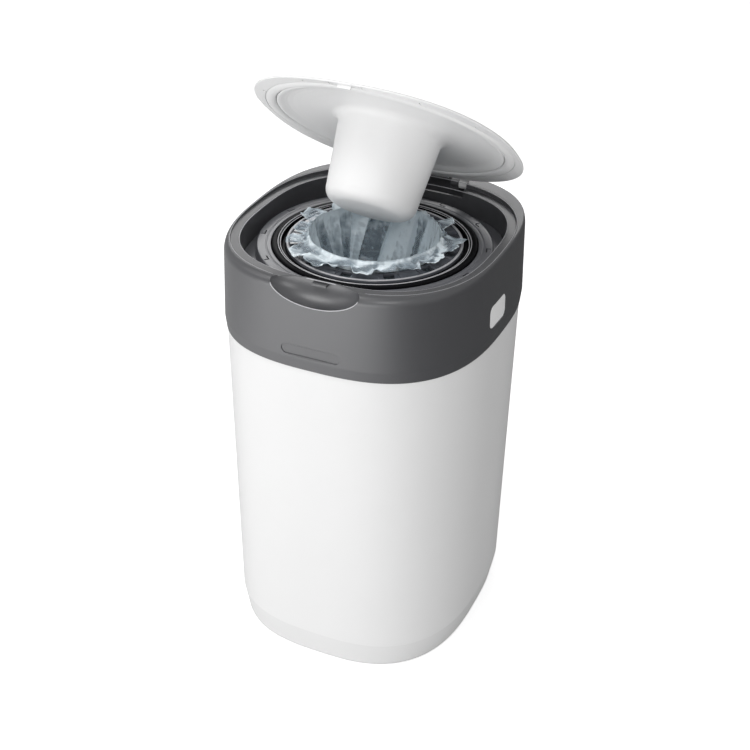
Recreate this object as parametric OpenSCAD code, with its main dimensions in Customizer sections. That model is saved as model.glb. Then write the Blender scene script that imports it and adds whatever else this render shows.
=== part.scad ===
// Nappy bin with a squircle bucket, a hinged collar that holds a film cassette,
// and a lid whose plunger pushes the nappy down through the film.
// The front faces -Y, the floor is z = 0, and the lid stands ajar as it is used.

/* [Bucket] */
// Width of the bucket at its shoulder
body_w = 250.4; // [230:0.2:280]
// Depth of the bucket at its shoulder
body_d = 276.6; // [255:0.2:310]
// Height of the shoulder that the collar sits on
shoulder_h = 329; // [280:1:400]
// How much narrower the bucket is at the bevel crease
crease_in_w = 8.6; // [4:0.2:16]
// How much shallower the bucket is at the bevel crease
crease_in_d = 4.6; // [2:0.2:16]
// Height of the bevel band at the foot
bevel_h = 27; // [15:1:45]
// How much narrower the foot is than the crease
foot_in_w = 9.2; // [4:0.2:16]
// How much shallower the foot is than the crease
foot_in_d = 5.2; // [4:0.2:16]
// Squareness of the outline, 2 is an ellipse
body_n = 2.75; // [2.3:0.05:4]
// Thickness of the bucket wall
bucket_wall = 2.6; // [2:0.1:4]
// Thickness of the bucket floor
bucket_floor = 3; // [2:0.1:5]
// Height of the neck inside the collar
neck_h = 8; // [5:0.5:12]
// Gap between the neck and the collar wall
neck_gap = 1.2; // [0.9:0.1:2]

/* [Collar] */
// Height of the collar, from the shoulder to the rim
collar_h = 81; // [74:1:100]
// How far the collar stands proud of the bucket
collar_proud = 0.8; // [0.3:0.1:2]
// Height of the chamfer band at the bottom of the collar
band_h = 10.5; // [6:0.5:16]
// How far the chamfer band slopes in
band_in = 1; // [0.4:0.1:2]
// Thickness of the collar wall
collar_wall = 3; // [2.4:0.1:3.6]
// Gap between the collar and the shoulder
seam_gap = 0.3; // [0.2:0.05:0.6]
// Rise of the rim from the front to the back
rim_rise = 3; // [0:0.5:5]
// Depth of the ledge that the lid rests on, below the front rim
ledge_drop = 1.2; // [0.8:0.1:3]
// Width of the ledge outline
ledge_w = 243.4; // [230:0.2:245]
// Depth of the ledge outline
ledge_d = 247.8; // [230:0.2:250]
// Width of the opening under the lid
mouth_w = 227; // [222:0.2:232]
// Depth of the opening under the lid
mouth_d = 228.2; // [222:0.2:232]
// How far the opening sits in front of the middle
mouth_fwd = 6; // [4:0.5:8]
// Width of the finger scoop at the rim
scoop_w = 80; // [60:1:90]
// Depth of the finger scoop down the front
scoop_drop = 17.5; // [12:0.5:22]
// Radius of the ball that forms the scoop
scoop_r = 72; // [66:1:90]
// Width of the plain name recess on the front
recess_w = 56; // [40:1:70]
// Height of the plain name recess
recess_h = 9.5; // [6:0.5:12]

/* [Deck and turntable] */
// Depth of the outer floor below the ledge
floor_drop = 22; // [18:1:26]
// Height of the raised round platform above that floor
step_h = 9; // [6:0.5:12]
// Radius of the platform
step_r = 108.5; // [106:0.5:110]
// Outer radius of the turntable ring
ring_r = 94.2; // [92:0.2:95]
// Outer radius of the cassette
cassette_r = 85.2; // [84:0.2:86]
// Radius of the throat through the cassette
throat_r = 62; // [60:0.5:64]
// Height of the cassette
cassette_h = 42; // [34:1:44]
// Number of slots in the deck
deck_slots = 12; // [6:1:18]
// Wall of the cassette and the small mouldings
thin_wall = 1.6; // [1.2:0.1:2]
// Plate thickness of the deck
deck_t = 2; // [1.6:0.1:2.6]
// Running gap round the turntable
spin_gap = 0.6; // [0.4:0.1:1]

/* [Lid] */
// Angle that the lid is open at rest
lid_ajar = 38.4; // [20:0.1:60]
// Gap between the lid and the rim round it
lid_gap = 1.1; // [0.8:0.1:1.6]
// Height of the lid's dome above the ledge
dome_h = 14.4; // [13.5:0.1:18]
// Thickness of the lid shell
lid_wall = 2.4; // [2:0.1:3]
// Radius of the turning dish under the lid
dish_r = 105.2; // [103:0.2:106]
// Radius of the dial on top of the lid
dial_r = 62; // [54:0.5:64]
// Distance from the ledge to the end of the plunger
plunger_l = 72.8; // [60:0.2:76]
// Radius of the plunger at its end
plunger_r = 42.2; // [38:0.2:43]
// Taper of the plunger's radius over its length
plunger_taper = 6.6; // [4:0.2:8]
// Radius of the plunger's end edge
plunger_edge = 13; // [8:0.5:15]

/* [Hinges and buttons] */
// Distance of the lid hinge behind the middle of the bin
lid_hinge_y = 124.3; // [122:0.1:126]
// Radius of the lid hinge pins
pin_r = 2; // [1.5:0.1:2.4]
// Distance of the collar hinge axis behind the shoulder
back_hinge_out = 3.4; // [3:0.1:5]
// Radius of the collar hinge knuckles
knuckle_r = 4.2; // [3.6:0.1:5]
// Width of the release buttons
button_w = 36; // [28:1:42]
// Height of the release buttons
button_h = 22; // [16:1:26]
// How far the buttons sit in front of the middle
button_fwd = 17.5; // [10:0.5:24]
// Height of the button centre above the shoulder
button_up = 29.5; // [24:0.5:36]
// Clearance round a button
button_gap = 0.5; // [0.3:0.1:0.8]

/* [Hidden] */
steps = 96;                 // points round each squircle
$fn = 96;
grey = "#86868b";
white = "#f2f2f2";
black = "#1c1c1e";

// Outline sizes that follow the driving dimensions
collar_w = body_w + 2*collar_proud;
collar_d = body_d + 2*collar_proud;
rim_z = shoulder_h + collar_h;
ledge_z = rim_z - ledge_drop;
floor_z = ledge_z - floor_drop;
step_z = floor_z + step_h;
seam_z = shoulder_h + seam_gap;
axis_y = -mouth_fwd;        // centre of everything round
ledge_n = 2.63;
mouth_n = 2.74;
ledge_t = 3;                // thickness of the ledge plate
mouth_wall = 2.5;           // wall round the opening
mouth_draft = 2.4;          // how much the opening narrows down to the floor
collar_top_in = 1.6;        // the collar wall leans in by this to its rounded edge
rim_round_h = 8;            // height of the rounded top edge
crest_in_w = 4.6;           // inset of the rim crest in width
crest_in_d = 10.4;          // and in depth
crest_back = 2;             // the crest sits this far back
scoop_t = 2.5;              // wall behind the scoop
scoop_flat_r = (pow(scoop_w/2, 2) + pow(scoop_drop, 2)) / (2*scoop_drop);
scoop_out = sqrt(pow(scoop_r, 2) - pow(scoop_flat_r, 2));
scoop_y = -collar_d/2 - scoop_out;
scoop_z = ledge_z - scoop_drop + scoop_flat_r;
latch_w = 12;               // width of the lid's hook
latch_t = 1.8;              // its thickness
latch_l = 2.8;              // and its length below the ledge
latch_foot = 12;            // half width of the latch's foot in the rim band
latch_gap = 0.8;
latch_y = axis_y - ledge_d/2 + 4.5;
hinge_z = ledge_z - 1;      // lid hinge axis
lug_in = 32;                // inner face of each lid lug
lug_w = 9.6;
lug_r = 4.5;
post_gap = 0.5;             // side gap between lug and post
post_w = 8;
pocket_w = 2*(lug_in + lug_w + post_gap);
pocket_z = hinge_z - lug_r - 1.5;
pocket_y = lid_hinge_y + lug_r + 2;
pin_fit = 0.03;             // pin in a fixed bore
run_fit = 0.07;             // pin in a turning bore
pin_reach = 5;              // pin length inside the pocket's end wall
back_y = collar_d/2 - collar_proud + back_hinge_out;
back_pin_r = 1.8;
knuckle_gap = 0.5;
collar_knuckle_w = 40;
bucket_knuckle_w = 18;
knuckle_web = 11;           // height of the web from knuckle to wall
button_z = shoulder_h + button_up;
button_r = 6;               // corner radius of a button
button_t = 3;               // thickness of a button's face
button_flange = 2;          // flange past the window
deck_gap = 0.3;
platform_round = 2;
sleeve_l = 14;              // bearing sleeve below the platform
sleeve_t = 2.4;
sleeve_r = ring_r + spin_gap;
ring_z = step_z + 1.2;      // top of the turntable ring
ring_wall = 3.4;
retainer_t = 2;
ring_foot_z = step_z - deck_t - sleeve_l;
ring_shelf = 2.2;
cassette_gap = 0.5;
cassette_top = step_z + 0.4;
cassette_low = cassette_top - cassette_h;
cassette_seat = ring_foot_z + ring_shelf + 0.3;
seat_step = 2.8;            // the cassette steps in by this to sit on the ring
cap_slots = 12;
frame_r = sleeve_r + sleeve_t + 2.5;   // inner radius of the gripper frame
frame_z = cassette_low - 14; // top of the gripper plate
plate_t = 2.2;
film_t = 0.9;
film_top = cassette_top + 3.4;
film_gap = 0.5;
film_flap = 14;             // the film lies this far out over the cap
film_slack = 6.5;           // room between the film and the plunger's side
film_below = 11;            // room between the film and the plunger's end
film_fall = 14;             // height of the cone where the film gathers
film_tail_l = 28;           // length of the gathered film below that
grip_r = 52;                // hole in the gripper plate
neck_r = 7.4;               // radius of the gathered film
finger_n = 8;
finger_t = 1.6;
finger_tip_r = 9.6;
finger_drop = 43;
lid_z = ledge_z + 0.4;      // underside of the closed lid
lid_w = ledge_w - 2*lid_gap;
lid_d = ledge_d - 2*lid_gap;
lid_n = 2.38;
lid_edge = 1.8;             // height of the lid's side below its dome
rim_band_t = 2;             // thickness of the flat rim band under the lid
liner_r = 115;              // outer radius of the rolled ring under the lid
liner_gap = 0.3;
liner_roll = 1;             // the ring bulges this far below the rim band
liner_t = 1.5;              // thickness of the ring's outer edge
dish_gap = 0.6;
dish_z = lid_z + 0.7;       // underside of the dish at its edge
dish_rise = 4.7;            // the dish sinks this far into the lid
dish_wall = 1.8;
dish_step = 7;              // width of the sloping step inside the dish's edge
plunger_wall = 2.2;
plunger_fillet = 9;
hub_r = dial_r - 8;         // sleeve that joins the plunger to the dial
dial_gap = 0.6;
dial_hole_r = dial_r + dial_gap;
dial_drop = 3;              // the dial's underside lies this far below the top of the dome
lip_drop = 4.6;             // and the lip that carries it this far
lip_t = 1.6;
spigot_l = 3.2;             // the dial's spigot reaches this far down into the hub
bar_w = 13;                 // width of the dial's grip bar
bar_up = 3;                 // and its height above the dome
spigot_fit = 0.05;          // the dial's spigot snaps into the hub
screw_r = 1;
screw_l = 4;
screw_head_r = 1.9;
plunger_end = ledge_z - plunger_l;
film_join_z = plunger_end + plunger_edge + 8;
neck_z = plunger_end - film_below - film_fall;
sleeve_end_r = plunger_r + 3;
sleeve_end_z = plunger_end + 2;
plunger_seat = dish_z + dish_rise;
plunger_join = plunger_seat - plunger_fillet;   // the cup ends and the dish begins here

function sgn(v) = v < 0 ? -1 : 1;
function curve(v, n) = sgn(v)*pow(abs(v), 2/n);
function squircle(w, d, n, cy = 0) =
    [for (i = [0:steps - 1]) let (t = 360*i/steps) [w/2*curve(cos(t), n), cy + d/2*curve(sin(t), n)]];
// One section: [width, depth, squareness, middle y, height, rise to the back]
function section(s) =
    [for (p = squircle(s[0], s[1], s[2], s[3])) [p.x, p.y, s[4] + s[5]*(p.y - s[3] + s[1]/2)/s[1]]];

// A closed solid through sections from the bottom up
module loft(sections) {
    n = len(sections);
    points = [for (s = sections) each section(s)];
    sides = [for (k = [0:n - 2], i = [0:steps - 1]) let (a = k*steps, b = a + steps, j = (i + 1) % steps)
        each [[a + i, b + i, b + j], [a + i, b + j, a + j]]];
    low = [for (i = [0:steps - 1]) i];
    high = [for (i = [0:steps - 1]) (n - 1)*steps + steps - 1 - i];
    polyhedron(concat(points, []), concat(sides, [low, high]), convexity = 6);
}

module slab(w, d, n, cy, z0, z1) {
    translate([0, 0, z0]) linear_extrude(z1 - z0) polygon(squircle(w, d, n, cy));
}

module tube(r_out, r_in, z0, z1) {
    translate([0, axis_y, z0]) difference() {
        cylinder(r = r_out, h = z1 - z0);
        translate([0, 0, -1]) cylinder(r = r_in, h = z1 - z0 + 2);
    }
}

module round_part() {
    translate([0, axis_y, 0]) rotate_extrude() children();
}

module x_rod(r, x0, x1, y, z) {
    translate([x0, y, z]) rotate([0, 90, 0]) cylinder(r = r, h = x1 - x0);
}

module block(x0, x1, y0, y1, z0, z1) {
    translate([x0, y0, z0]) cube([x1 - x0, y1 - y0, z1 - z0]);
}

module both_sides() {
    children();
    mirror([1, 0, 0]) children();
}

// Turns the lid's parts from closed to where they stand at rest
module ajar() {
    translate([0, lid_hinge_y, hinge_z]) rotate([-lid_ajar, 0, 0])
        translate([0, -lid_hinge_y, -hinge_z]) children();
}

// Outer form of the bucket from the floor to its shoulder
module bucket_form(inset, z0, z1) {
    foot_w = body_w - crease_in_w - foot_in_w;
    foot_d = body_d - crease_in_d - foot_in_d;
    edge = 3;
    function at(w, d, z) = [w - 2*inset, d - 2*inset, body_n, 0, z, 0];
    loft([
        at(foot_w - edge, foot_d - edge, z0),
        at(foot_w - edge*0.3, foot_d - edge*0.3, z0 + edge*0.3),
        at(foot_w, foot_d, z0 + edge),
        at(body_w - crease_in_w - 1, body_d - crease_in_d - 1, bevel_h - 2),
        at(body_w - crease_in_w, body_d - crease_in_d, bevel_h + 1),
        at(body_w, body_d, z1)]);
}

module bucket_shell() color(white) {
    neck_w = collar_w - 2*collar_wall - 2*neck_gap;
    neck_d = collar_d - 2*collar_wall - 2*neck_gap;
    difference() {
        union() {
            bucket_form(0, 0, shoulder_h);
            slab(neck_w, neck_d, body_n, 0, shoulder_h - 6, shoulder_h + neck_h);
            both_sides() {
                x = collar_knuckle_w/2 + knuckle_gap;
                x_rod(knuckle_r, x, x + bucket_knuckle_w, back_y, shoulder_h);
                block(x, x + bucket_knuckle_w, back_y - back_hinge_out - 2, back_y,
                    shoulder_h - knuckle_web, shoulder_h);
            }
        }
        bucket_form(bucket_wall, bucket_floor, shoulder_h - 6);
        slab(neck_w - 2*bucket_wall, neck_d - 2*bucket_wall, body_n, 0, shoulder_h - 12,
        shoulder_h + neck_h + 1);
        x = collar_knuckle_w/2 + knuckle_gap;
        x_rod(knuckle_r + knuckle_gap, -x, x, back_y, shoulder_h);
        x_rod(back_pin_r + pin_fit, -60, 60, back_y, shoulder_h);
    }
}

module collar_hinge_pin() color("silver") {
    x = collar_knuckle_w/2 + knuckle_gap + bucket_knuckle_w;
    x_rod(back_pin_r, -x, x, back_y, shoulder_h);
}

// Outer form of the collar; inset moves every face in
module collar_form(inset, z0, z1) {
    wall_w = collar_w + 2*band_in - 2*inset;
    wall_d = collar_d + 2*band_in - 2*inset;
    top_w = wall_w - 2*collar_top_in;
    top_d = wall_d - 2*collar_top_in;
    turn = [0, 25, 50, 72, 90];
    loft(concat([
        [wall_w - 2*band_in, wall_d - 2*band_in, body_n, 0, z0, 0],
        [wall_w, wall_d, body_n, 0, shoulder_h + band_h, 0]],
        [for (a = turn) let (f = 1 - cos(a))
            [top_w - crest_in_w*f, top_d - crest_in_d*f, body_n, crest_back*f,
            z1 - rim_round_h*(1 - sin(a)), rim_rise*sin(a)]]));
}

module button_prism(gap, x0, x1) {
    translate([x0, -button_fwd, button_z]) rotate([90, 0, 90]) linear_extrude(x1 - x0)
        for (s = [[button_w + 2*gap, button_h + 2*gap - 2*button_r], [button_w + 2*gap - 2*button_r,
        button_h + 2*gap]])
            square(s, center = true);
    for (sy = [-1, 1], sz = [-1, 1])
        x_rod(button_r, x0, x1, -button_fwd + sy*(button_w/2 + gap - button_r),
            button_z + sz*(button_h/2 + gap - button_r));
}

module collar_shell() color(grey) {
    inner_w = mouth_w + 2*mouth_wall;
    inner_d = mouth_d + 2*mouth_wall;
    end_x = pocket_w/2;
    difference() {
        collar_form(0, seam_z, rim_z);
        // ledge for the lid and the opening inside it
        slab(ledge_w, ledge_d, ledge_n, axis_y, ledge_z, rim_z + rim_rise + 1);
        loft([[mouth_w - mouth_draft, mouth_d - mouth_draft, mouth_n, axis_y, floor_z - 10, 0],
            [mouth_w - mouth_draft, mouth_d - mouth_draft, mouth_n, axis_y, floor_z, 0],
            [mouth_w, mouth_d, mouth_n, axis_y, ledge_z + 1, 0]]);
        // hollow underside, which leaves the wall round the opening, the scoop and the hinge pocket
        difference() {
            collar_hollow();
            slab(inner_w, inner_d, mouth_n, axis_y, floor_z - deck_t - 1, ledge_z);
            translate([0, scoop_y, scoop_z]) sphere(r = scoop_r + scoop_t);
            block(-end_x - pin_reach - 2, end_x + pin_reach + 2, axis_y + mouth_d/2, pocket_y + 3,
                pocket_z - 2.5, ledge_z);
        }
        translate([0, scoop_y, scoop_z]) sphere(r = scoop_r);
        block(-latch_w/2 - latch_gap, latch_w/2 + latch_gap, latch_y - latch_t/2 - latch_gap,
            latch_y + latch_t/2 + latch_gap, ledge_z - 8, ledge_z + 2);
        hinge_pocket();
        both_sides() x_rod(pin_r + pin_fit, lug_in - post_gap - post_w - 1, end_x + pin_reach,
            lid_hinge_y, hinge_z);
        both_sides() button_prism(button_gap, body_w/2 - 12, body_w/2 + 9);
        name_recess();
        // room for the bucket's knuckles
        both_sides() x_rod(knuckle_r + knuckle_gap, collar_knuckle_w/2,
            collar_knuckle_w/2 + bucket_knuckle_w + 2*knuckle_gap, back_y, shoulder_h);
    }
    collar_knuckle();
}

module collar_hollow() {
    wall_w = collar_w + 2*band_in - 2*collar_wall;
    wall_d = collar_d + 2*band_in - 2*collar_wall;
    top = ledge_z - ledge_t;
    loft([[collar_w - 2*collar_wall, collar_d - 2*collar_wall, body_n, 0, seam_z - 1, 0],
        [collar_w - 2*collar_wall, collar_d - 2*collar_wall, body_n, 0, seam_z + neck_h + 3, 0],
        [wall_w - 2*collar_top_in, wall_d - 2*collar_top_in, body_n, 0, rim_z - rim_round_h - 3, 0],
        [wall_w - 2*collar_top_in - 4, wall_d - 2*collar_top_in - 4, body_n, 0, top, 0]]);
}

module hinge_pocket() {
    x = pocket_w/2;
    y0 = axis_y + mouth_d/2 - mouth_wall - 1;
    post = lug_in - post_gap;
    difference() {
        block(-x, x, y0, pocket_y, pocket_z, rim_z + rim_rise + 5);
        both_sides() {
            block(post - post_w, post, lid_hinge_y - lug_r, pocket_y + 1, pocket_z - 1, hinge_z);
            x_rod(lug_r, post - post_w, post, lid_hinge_y, hinge_z);
        }
    }
}

module name_recess() {
    translate([0, -collar_d/2 - band_in + 0.8, shoulder_h + band_h + 7.5]) rotate([90, 0, 0])
        linear_extrude(6) {
            square([recess_w - recess_h, recess_h], center = true);
            for (s = [-1, 1]) translate([s*(recess_w - recess_h)/2, 0]) circle(d = recess_h);
        }
}

module collar_knuckle() {
    x = collar_knuckle_w/2;
    difference() {
        union() {
            x_rod(knuckle_r, -x, x, back_y, shoulder_h);
            block(-x, x, collar_d/2 - 2.6, back_y, seam_z, seam_z + knuckle_web);
        }
        x_rod(back_pin_r + run_fit, -60, 60, back_y, shoulder_h);
    }
}

module deck() color(grey) {
    in_r = sleeve_r;
    top = step_z;
    difference() {
        intersection() {
            round_part() polygon([[in_r, top], [step_r - platform_round, top], [step_r, top - platform_round],
                [step_r, floor_z], [180, floor_z], [180, floor_z - deck_t],
                [step_r - deck_t, floor_z - deck_t], [step_r - deck_t, top - deck_t],
                [in_r + sleeve_t, top - deck_t], [in_r + sleeve_t, top - deck_t - sleeve_l],
                [in_r, top - deck_t - sleeve_l]]);
            slab(mouth_w - mouth_draft - 2*deck_gap, mouth_d - mouth_draft - 2*deck_gap, mouth_n, axis_y,
                floor_z - 30, rim_z);
        }
        for (i = [0:deck_slots - 1]) translate([0, axis_y, 0]) rotate(360/deck_slots*(i + 0.5)) deck_slot();
        screw_places() cylinder(r = screw_r + pin_fit, h = screw_l);
    }
}

// An L-shaped slot through the platform
module deck_slot() {
    slot = 1.4;
    r = (sleeve_r + sleeve_t + step_r)/2 - 0.6;
    block(r - slot/2, r + slot/2, -4, 4, step_z - 4, step_z + 1);
    block(r - slot/2, r + 3.2, 4 - slot, 4, step_z - 4, step_z + 1);
}

module retainer_ring() color(grey) {
    z = ring_foot_z - deck_gap;
    difference() {
        tube(sleeve_r + sleeve_t + 2, ring_r - 5, z - retainer_t, z);
        screw_places() cylinder(r = screw_r + pin_fit, h = 10, center = true);
    }
}

module screw_places() {
    for (a = [45:90:315]) translate([0, axis_y, ring_foot_z]) rotate(a)
        translate([sleeve_r + sleeve_t/2, 0, 0]) children();
}

module retainer_screws() color("silver") {
    low = -deck_gap - retainer_t;
    screw_places() {
        translate([0, 0, low - 1.2]) cylinder(r = screw_head_r, h = 1.2);
        translate([0, 0, low]) cylinder(r = screw_r, h = screw_l);
    }
}

module turntable_ring() color(black) {
    groove = 0.7;
    in_r = cassette_r + cassette_gap;
    shelf_r = cassette_r - seat_step + cassette_gap;
    round_part() polygon([[ring_r, ring_foot_z], [ring_r, ring_z - 1.6], [ring_r - 1.6, ring_z],
        [in_r + 5, ring_z], [in_r + 4.4, ring_z - groove], [in_r + 3.2, ring_z - groove], [in_r + 2.6,
        ring_z],
        [in_r + 0.8, ring_z], [in_r, ring_z - 0.8], [in_r, ring_z - 4], [ring_r - ring_wall, ring_z - 5.5],
        [ring_r - ring_wall, ring_foot_z + ring_shelf], [shelf_r, ring_foot_z + ring_shelf],
        [shelf_r, ring_foot_z]]);
}

module cassette_tub() color("#3a3c40") {
    low_r = cassette_r - seat_step;
    skirt = cassette_top - 6;
    round_part() polygon([[throat_r, cassette_low], [low_r, cassette_low], [low_r, cassette_seat],
        [cassette_r, cassette_seat], [cassette_r, skirt], [cassette_r - thin_wall, skirt],
        [cassette_r - thin_wall, cassette_seat + thin_wall], [low_r - thin_wall, cassette_seat + thin_wall],
        [low_r - thin_wall, cassette_low + thin_wall], [throat_r, cassette_low + thin_wall]]);
}

// Throat tube, which stands on the tub's floor
module cassette_core() color("#3a3c40") {
    tube(throat_r + thin_wall, throat_r, cassette_low + thin_wall, cassette_top - 1);
}

// Cap of the cassette, slotted where the film leaves it
module cassette_cap() color("#54575c") {
    in_r = throat_r + thin_wall + 1.6;
    difference() {
        round_part() polygon([[in_r, cassette_top - thin_wall], [cassette_r - thin_wall,
        cassette_top - thin_wall],
            [cassette_r - thin_wall, cassette_top - 5.7], [cassette_r, cassette_top - 5.7],
            [cassette_r, cassette_top - 0.8], [cassette_r - 0.8, cassette_top], [in_r, cassette_top]]);
        for (i = [0:cap_slots - 1]) translate([0, axis_y, 0]) rotate(360/cap_slots*i)
            block(in_r + 4, cassette_r - 4, -3.5, 3.5, cassette_top - 2.2, cassette_top + 1);
    }
}

// The stored film, a packed sleeve inside the cassette
module film_pack() color("#c9d3dc") {
    gap = 0.5;
    tube(cassette_r - seat_step - thin_wall - gap, throat_r + thin_wall + gap,
        cassette_low + thin_wall + gap, cassette_top - thin_wall - 3);
}

// The film in use, from over the cap down into the throat
module film_liner() color("#b9c6d0") {
    t = film_t;
    throat = throat_r - film_gap - t;
    low_r = plunger_r + film_slack;
    round_part() polygon([
        [throat_r + film_flap, cassette_top + film_gap], [throat_r + film_flap, cassette_top + film_gap + t],
        [throat_r, film_top], [throat - 1.5, film_top - 0.6], [throat - 3, film_top - 4],
        [throat - 6, floor_z - 2], [low_r, film_join_z], [low_r + t, film_join_z],
        [throat - 6 + t, floor_z - 2], [throat - 3 + t, film_top - 4], [throat + 0.2, film_top - 2],
        [throat_r - 0.4, film_top - t - 0.4], [throat_r + 3, film_top - t - 1.3],
        [throat_r + 6, cassette_top + film_gap]]);
}

// The middle of the film, a plain sleeve round the plunger's end
module film_sleeve() color("#b9c6d0") {
    low_r = plunger_r + film_slack;
    round_part() polygon([[low_r, film_join_z], [sleeve_end_r, sleeve_end_z], [sleeve_end_r + film_t,
        sleeve_end_z],
        [low_r + film_t, film_join_z]]);
}

// The lower film, which closes to the gathered neck that the gripper holds
module film_bag() color("#b9c6d0") {
    t = film_t;
    tip = plunger_end - film_below;
    bend_r = plunger_r - 10;
    round_part() polygon([
        [sleeve_end_r, sleeve_end_z], [bend_r, tip - 1], [neck_r + 4, neck_z], [neck_r - t, neck_z - 6],
        [neck_r - t, neck_z - 8], [neck_r, neck_z - 8], [neck_r + 4 + t, neck_z - 1.4],
        [bend_r + t, tip - 2.4], [sleeve_end_r + t, sleeve_end_z]]);
}

// The gathered film below the neck
module film_tail() color("#b9c6d0") {
    z = neck_z - 8;
    round_part() polygon([[0, z - 2], [neck_r - film_t, z], [neck_r, z], [neck_r, z - film_tail_l],
        [0, z - film_tail_l]]);
}

module gripper_frame() color(grey) {
    top = step_z - deck_t - deck_gap;
    difference() {
        tube(frame_r + plate_t, frame_r, frame_z, top);
        for (a = [0:45:315]) translate([0, axis_y, 0]) rotate(a + 22.5)
            block(frame_r - 4, frame_r + 6, -14, 14, frame_z + 4, top - 6);
    }
}

module gripper_plate() color(grey) tube(frame_r + plate_t, grip_r, frame_z - plate_t, frame_z);

// Eight petals that close round the film below the plunger
module gripper_fingers() color("#5d6066") {
    z = frame_z - plate_t - deck_gap;
    low = z - finger_drop;
    difference() {
        round_part() polygon([[grip_r + 7, z], [grip_r, z], [finger_tip_r, low], [finger_tip_r + 2.6, low],
            [grip_r + 1.6, z - finger_t], [grip_r + 7, z - finger_t]]);
        for (i = [0:finger_n - 1]) translate([0, axis_y, 0]) rotate(360/finger_n*i)
            block(finger_tip_r - 3, grip_r + 0.5, -1.5, 1.5, low - 1, z + 1);
    }
}

module cutter_body() color("#3a3c40") {
    z = frame_z - plate_t - deck_gap;
    difference() {
        block(grip_r + 11, grip_r + 33, axis_y - 9, axis_y + 9, z - 12, z);
        block(grip_r + 9, grip_r + 26, axis_y - 1.2, axis_y + 1.2, z - 13, z - 4);
    }
}

module cutter_blade() color("silver") {
    z = frame_z - plate_t - deck_gap;
    translate([0, axis_y + 0.4, 0]) rotate([90, 0, 0]) linear_extrude(0.8)
        polygon([[grip_r + 13, z - 4.2], [grip_r + 25.8, z - 4.2], [grip_r + 25.8, z - 11.5]]);
}

module lid_hinge_pins() color("silver") {
    both_sides() x_rod(pin_r, lug_in - post_gap - post_w, pocket_w/2 + pin_reach - 0.3, lid_hinge_y, hinge_z);
}

// A flush button that follows the collar wall, with a flange behind it
module release_button() {
    x = collar_w/2 + band_in - collar_top_in/2 - collar_wall;
    difference() {
        intersection() {
            button_prism(0, x - 3, x + 9);
            collar_form(0.15, seam_z, rim_z);
        }
        block(x - 12, x - 0.6, -60, 60, button_z - 40, button_z + 40);
    }
    flange = 2;
    back = x - 3.6;
    button_prism(-2, back, x);
    button_prism(button_flange, back - flange, back);
}

module release_button_right() color("#e6e6e6") release_button();
module release_button_left() color("#e6e6e6") mirror([1, 0, 0]) release_button();

// Dome of the lid, drawn closed; inset moves its side in, drop its top down
module lid_form(inset, drop) {
    rise = dome_h - (lid_z - ledge_z) - lid_edge;
    function at(f, z) = [(lid_w - 2*inset)*f, (lid_d - 2*inset)*f, lid_n, axis_y, lid_z - drop + z, 0];
    loft(concat([at(0.996, 0), at(1, 0.6), at(1, lid_edge), at(0.985, lid_edge + 0.8)],
        [for (s = [[0.93, 0.23], [0.86, 0.43], [0.76, 0.71], [0.68, 0.9], [0.6, 1]])
            at(s[0], lid_edge + s[1]*rise)]));
}

module lid_shell() color(white) ajar() {
    top = ledge_z + dome_h;
    hub_hole = hub_r + plunger_wall + dial_gap;
    difference() {
        union() {
            difference() {
                lid_form(0, 0);
                lid_form(lid_wall, lid_wall);
            }
            // flat rim band round the rolled ring
            difference() {
                slab(lid_w - 2, lid_d - 2, lid_n, axis_y, lid_z, lid_z + rim_band_t);
                translate([0, axis_y, lid_z - 1]) cylinder(r = liner_r + liner_gap, h = rim_band_t + 2);
            }
            tube(dial_hole_r + lid_wall, hub_hole, top - lip_drop - lip_t, top - 1);
            both_sides() {
                x_rod(lug_r, lug_in, lug_in + lug_w, lid_hinge_y, hinge_z);
                block(lug_in, lug_in + lug_w, axis_y + lid_d/2 - 4.5, lid_hinge_y, hinge_z, hinge_z + lug_r);
            }
        }
        translate([0, axis_y, top - lip_drop]) cylinder(r = dial_hole_r, h = dome_h);
        translate([0, axis_y, top - dome_h]) cylinder(r = hub_hole, h = 2*dome_h);
        both_sides() x_rod(pin_r + run_fit, lug_in - 1, lug_in + lug_w + 1, lid_hinge_y, hinge_z);
        // seat of the rolled ring
        translate([0, axis_y, lid_z - 1]) cylinder(r = liner_r + liner_gap, h = 1 + liner_t + liner_gap);
        // seat of the latch's foot
        block(-latch_foot - liner_gap, latch_foot + liner_gap, latch_y - latch_t, latch_y + 3.5,
            lid_z - 1, lid_z + latch_t - 0.5);
        // room for the hinge posts
        both_sides() block(lug_in - post_gap - post_w - 1, lug_in, lid_hinge_y - lug_r - 7, lid_hinge_y + 9,
            lid_z - 2, lid_z + 1.5);
    }
}

// Rolled ring under the lid, round the turning dish
module lid_liner() color(white) ajar() {
    in_r = dish_r + dish_gap;
    mid_r = (liner_r + in_r)/2;
    z = lid_z;
    round_part() polygon([[liner_r, z + 0.2], [liner_r - 1.6, z], [mid_r + 1.8, z - 0.7*liner_roll],
        [mid_r - 0.6, z - liner_roll], [mid_r - 2.6, z - 0.7*liner_roll], [in_r + 0.6, z + 0.2], [in_r,
        z + 1.2],
        [in_r, z + 2.4], [in_r + 1.6, z + 2.4], [mid_r - 2, z + 1.1], [mid_r, z + 0.8], [mid_r + 2, z + 1.1],
        [liner_r, z + liner_t]]);
}

module lid_latch() color(white) ajar() {
    foot_top = lid_z + latch_t - 0.6;
    block(-latch_w/2, latch_w/2, latch_y - latch_t/2, latch_y + latch_t/2, ledge_z - latch_l, foot_top);
    block(-latch_foot, latch_foot, latch_y - latch_t + liner_gap, latch_y + 3.2, lid_z + 0.1, foot_top);
}

// Radius of the plunger's root, where its dish begins
function root_r() =
    plunger_r + plunger_taper*(plunger_join - plunger_end - plunger_edge)/(ledge_z - plunger_end);

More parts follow.
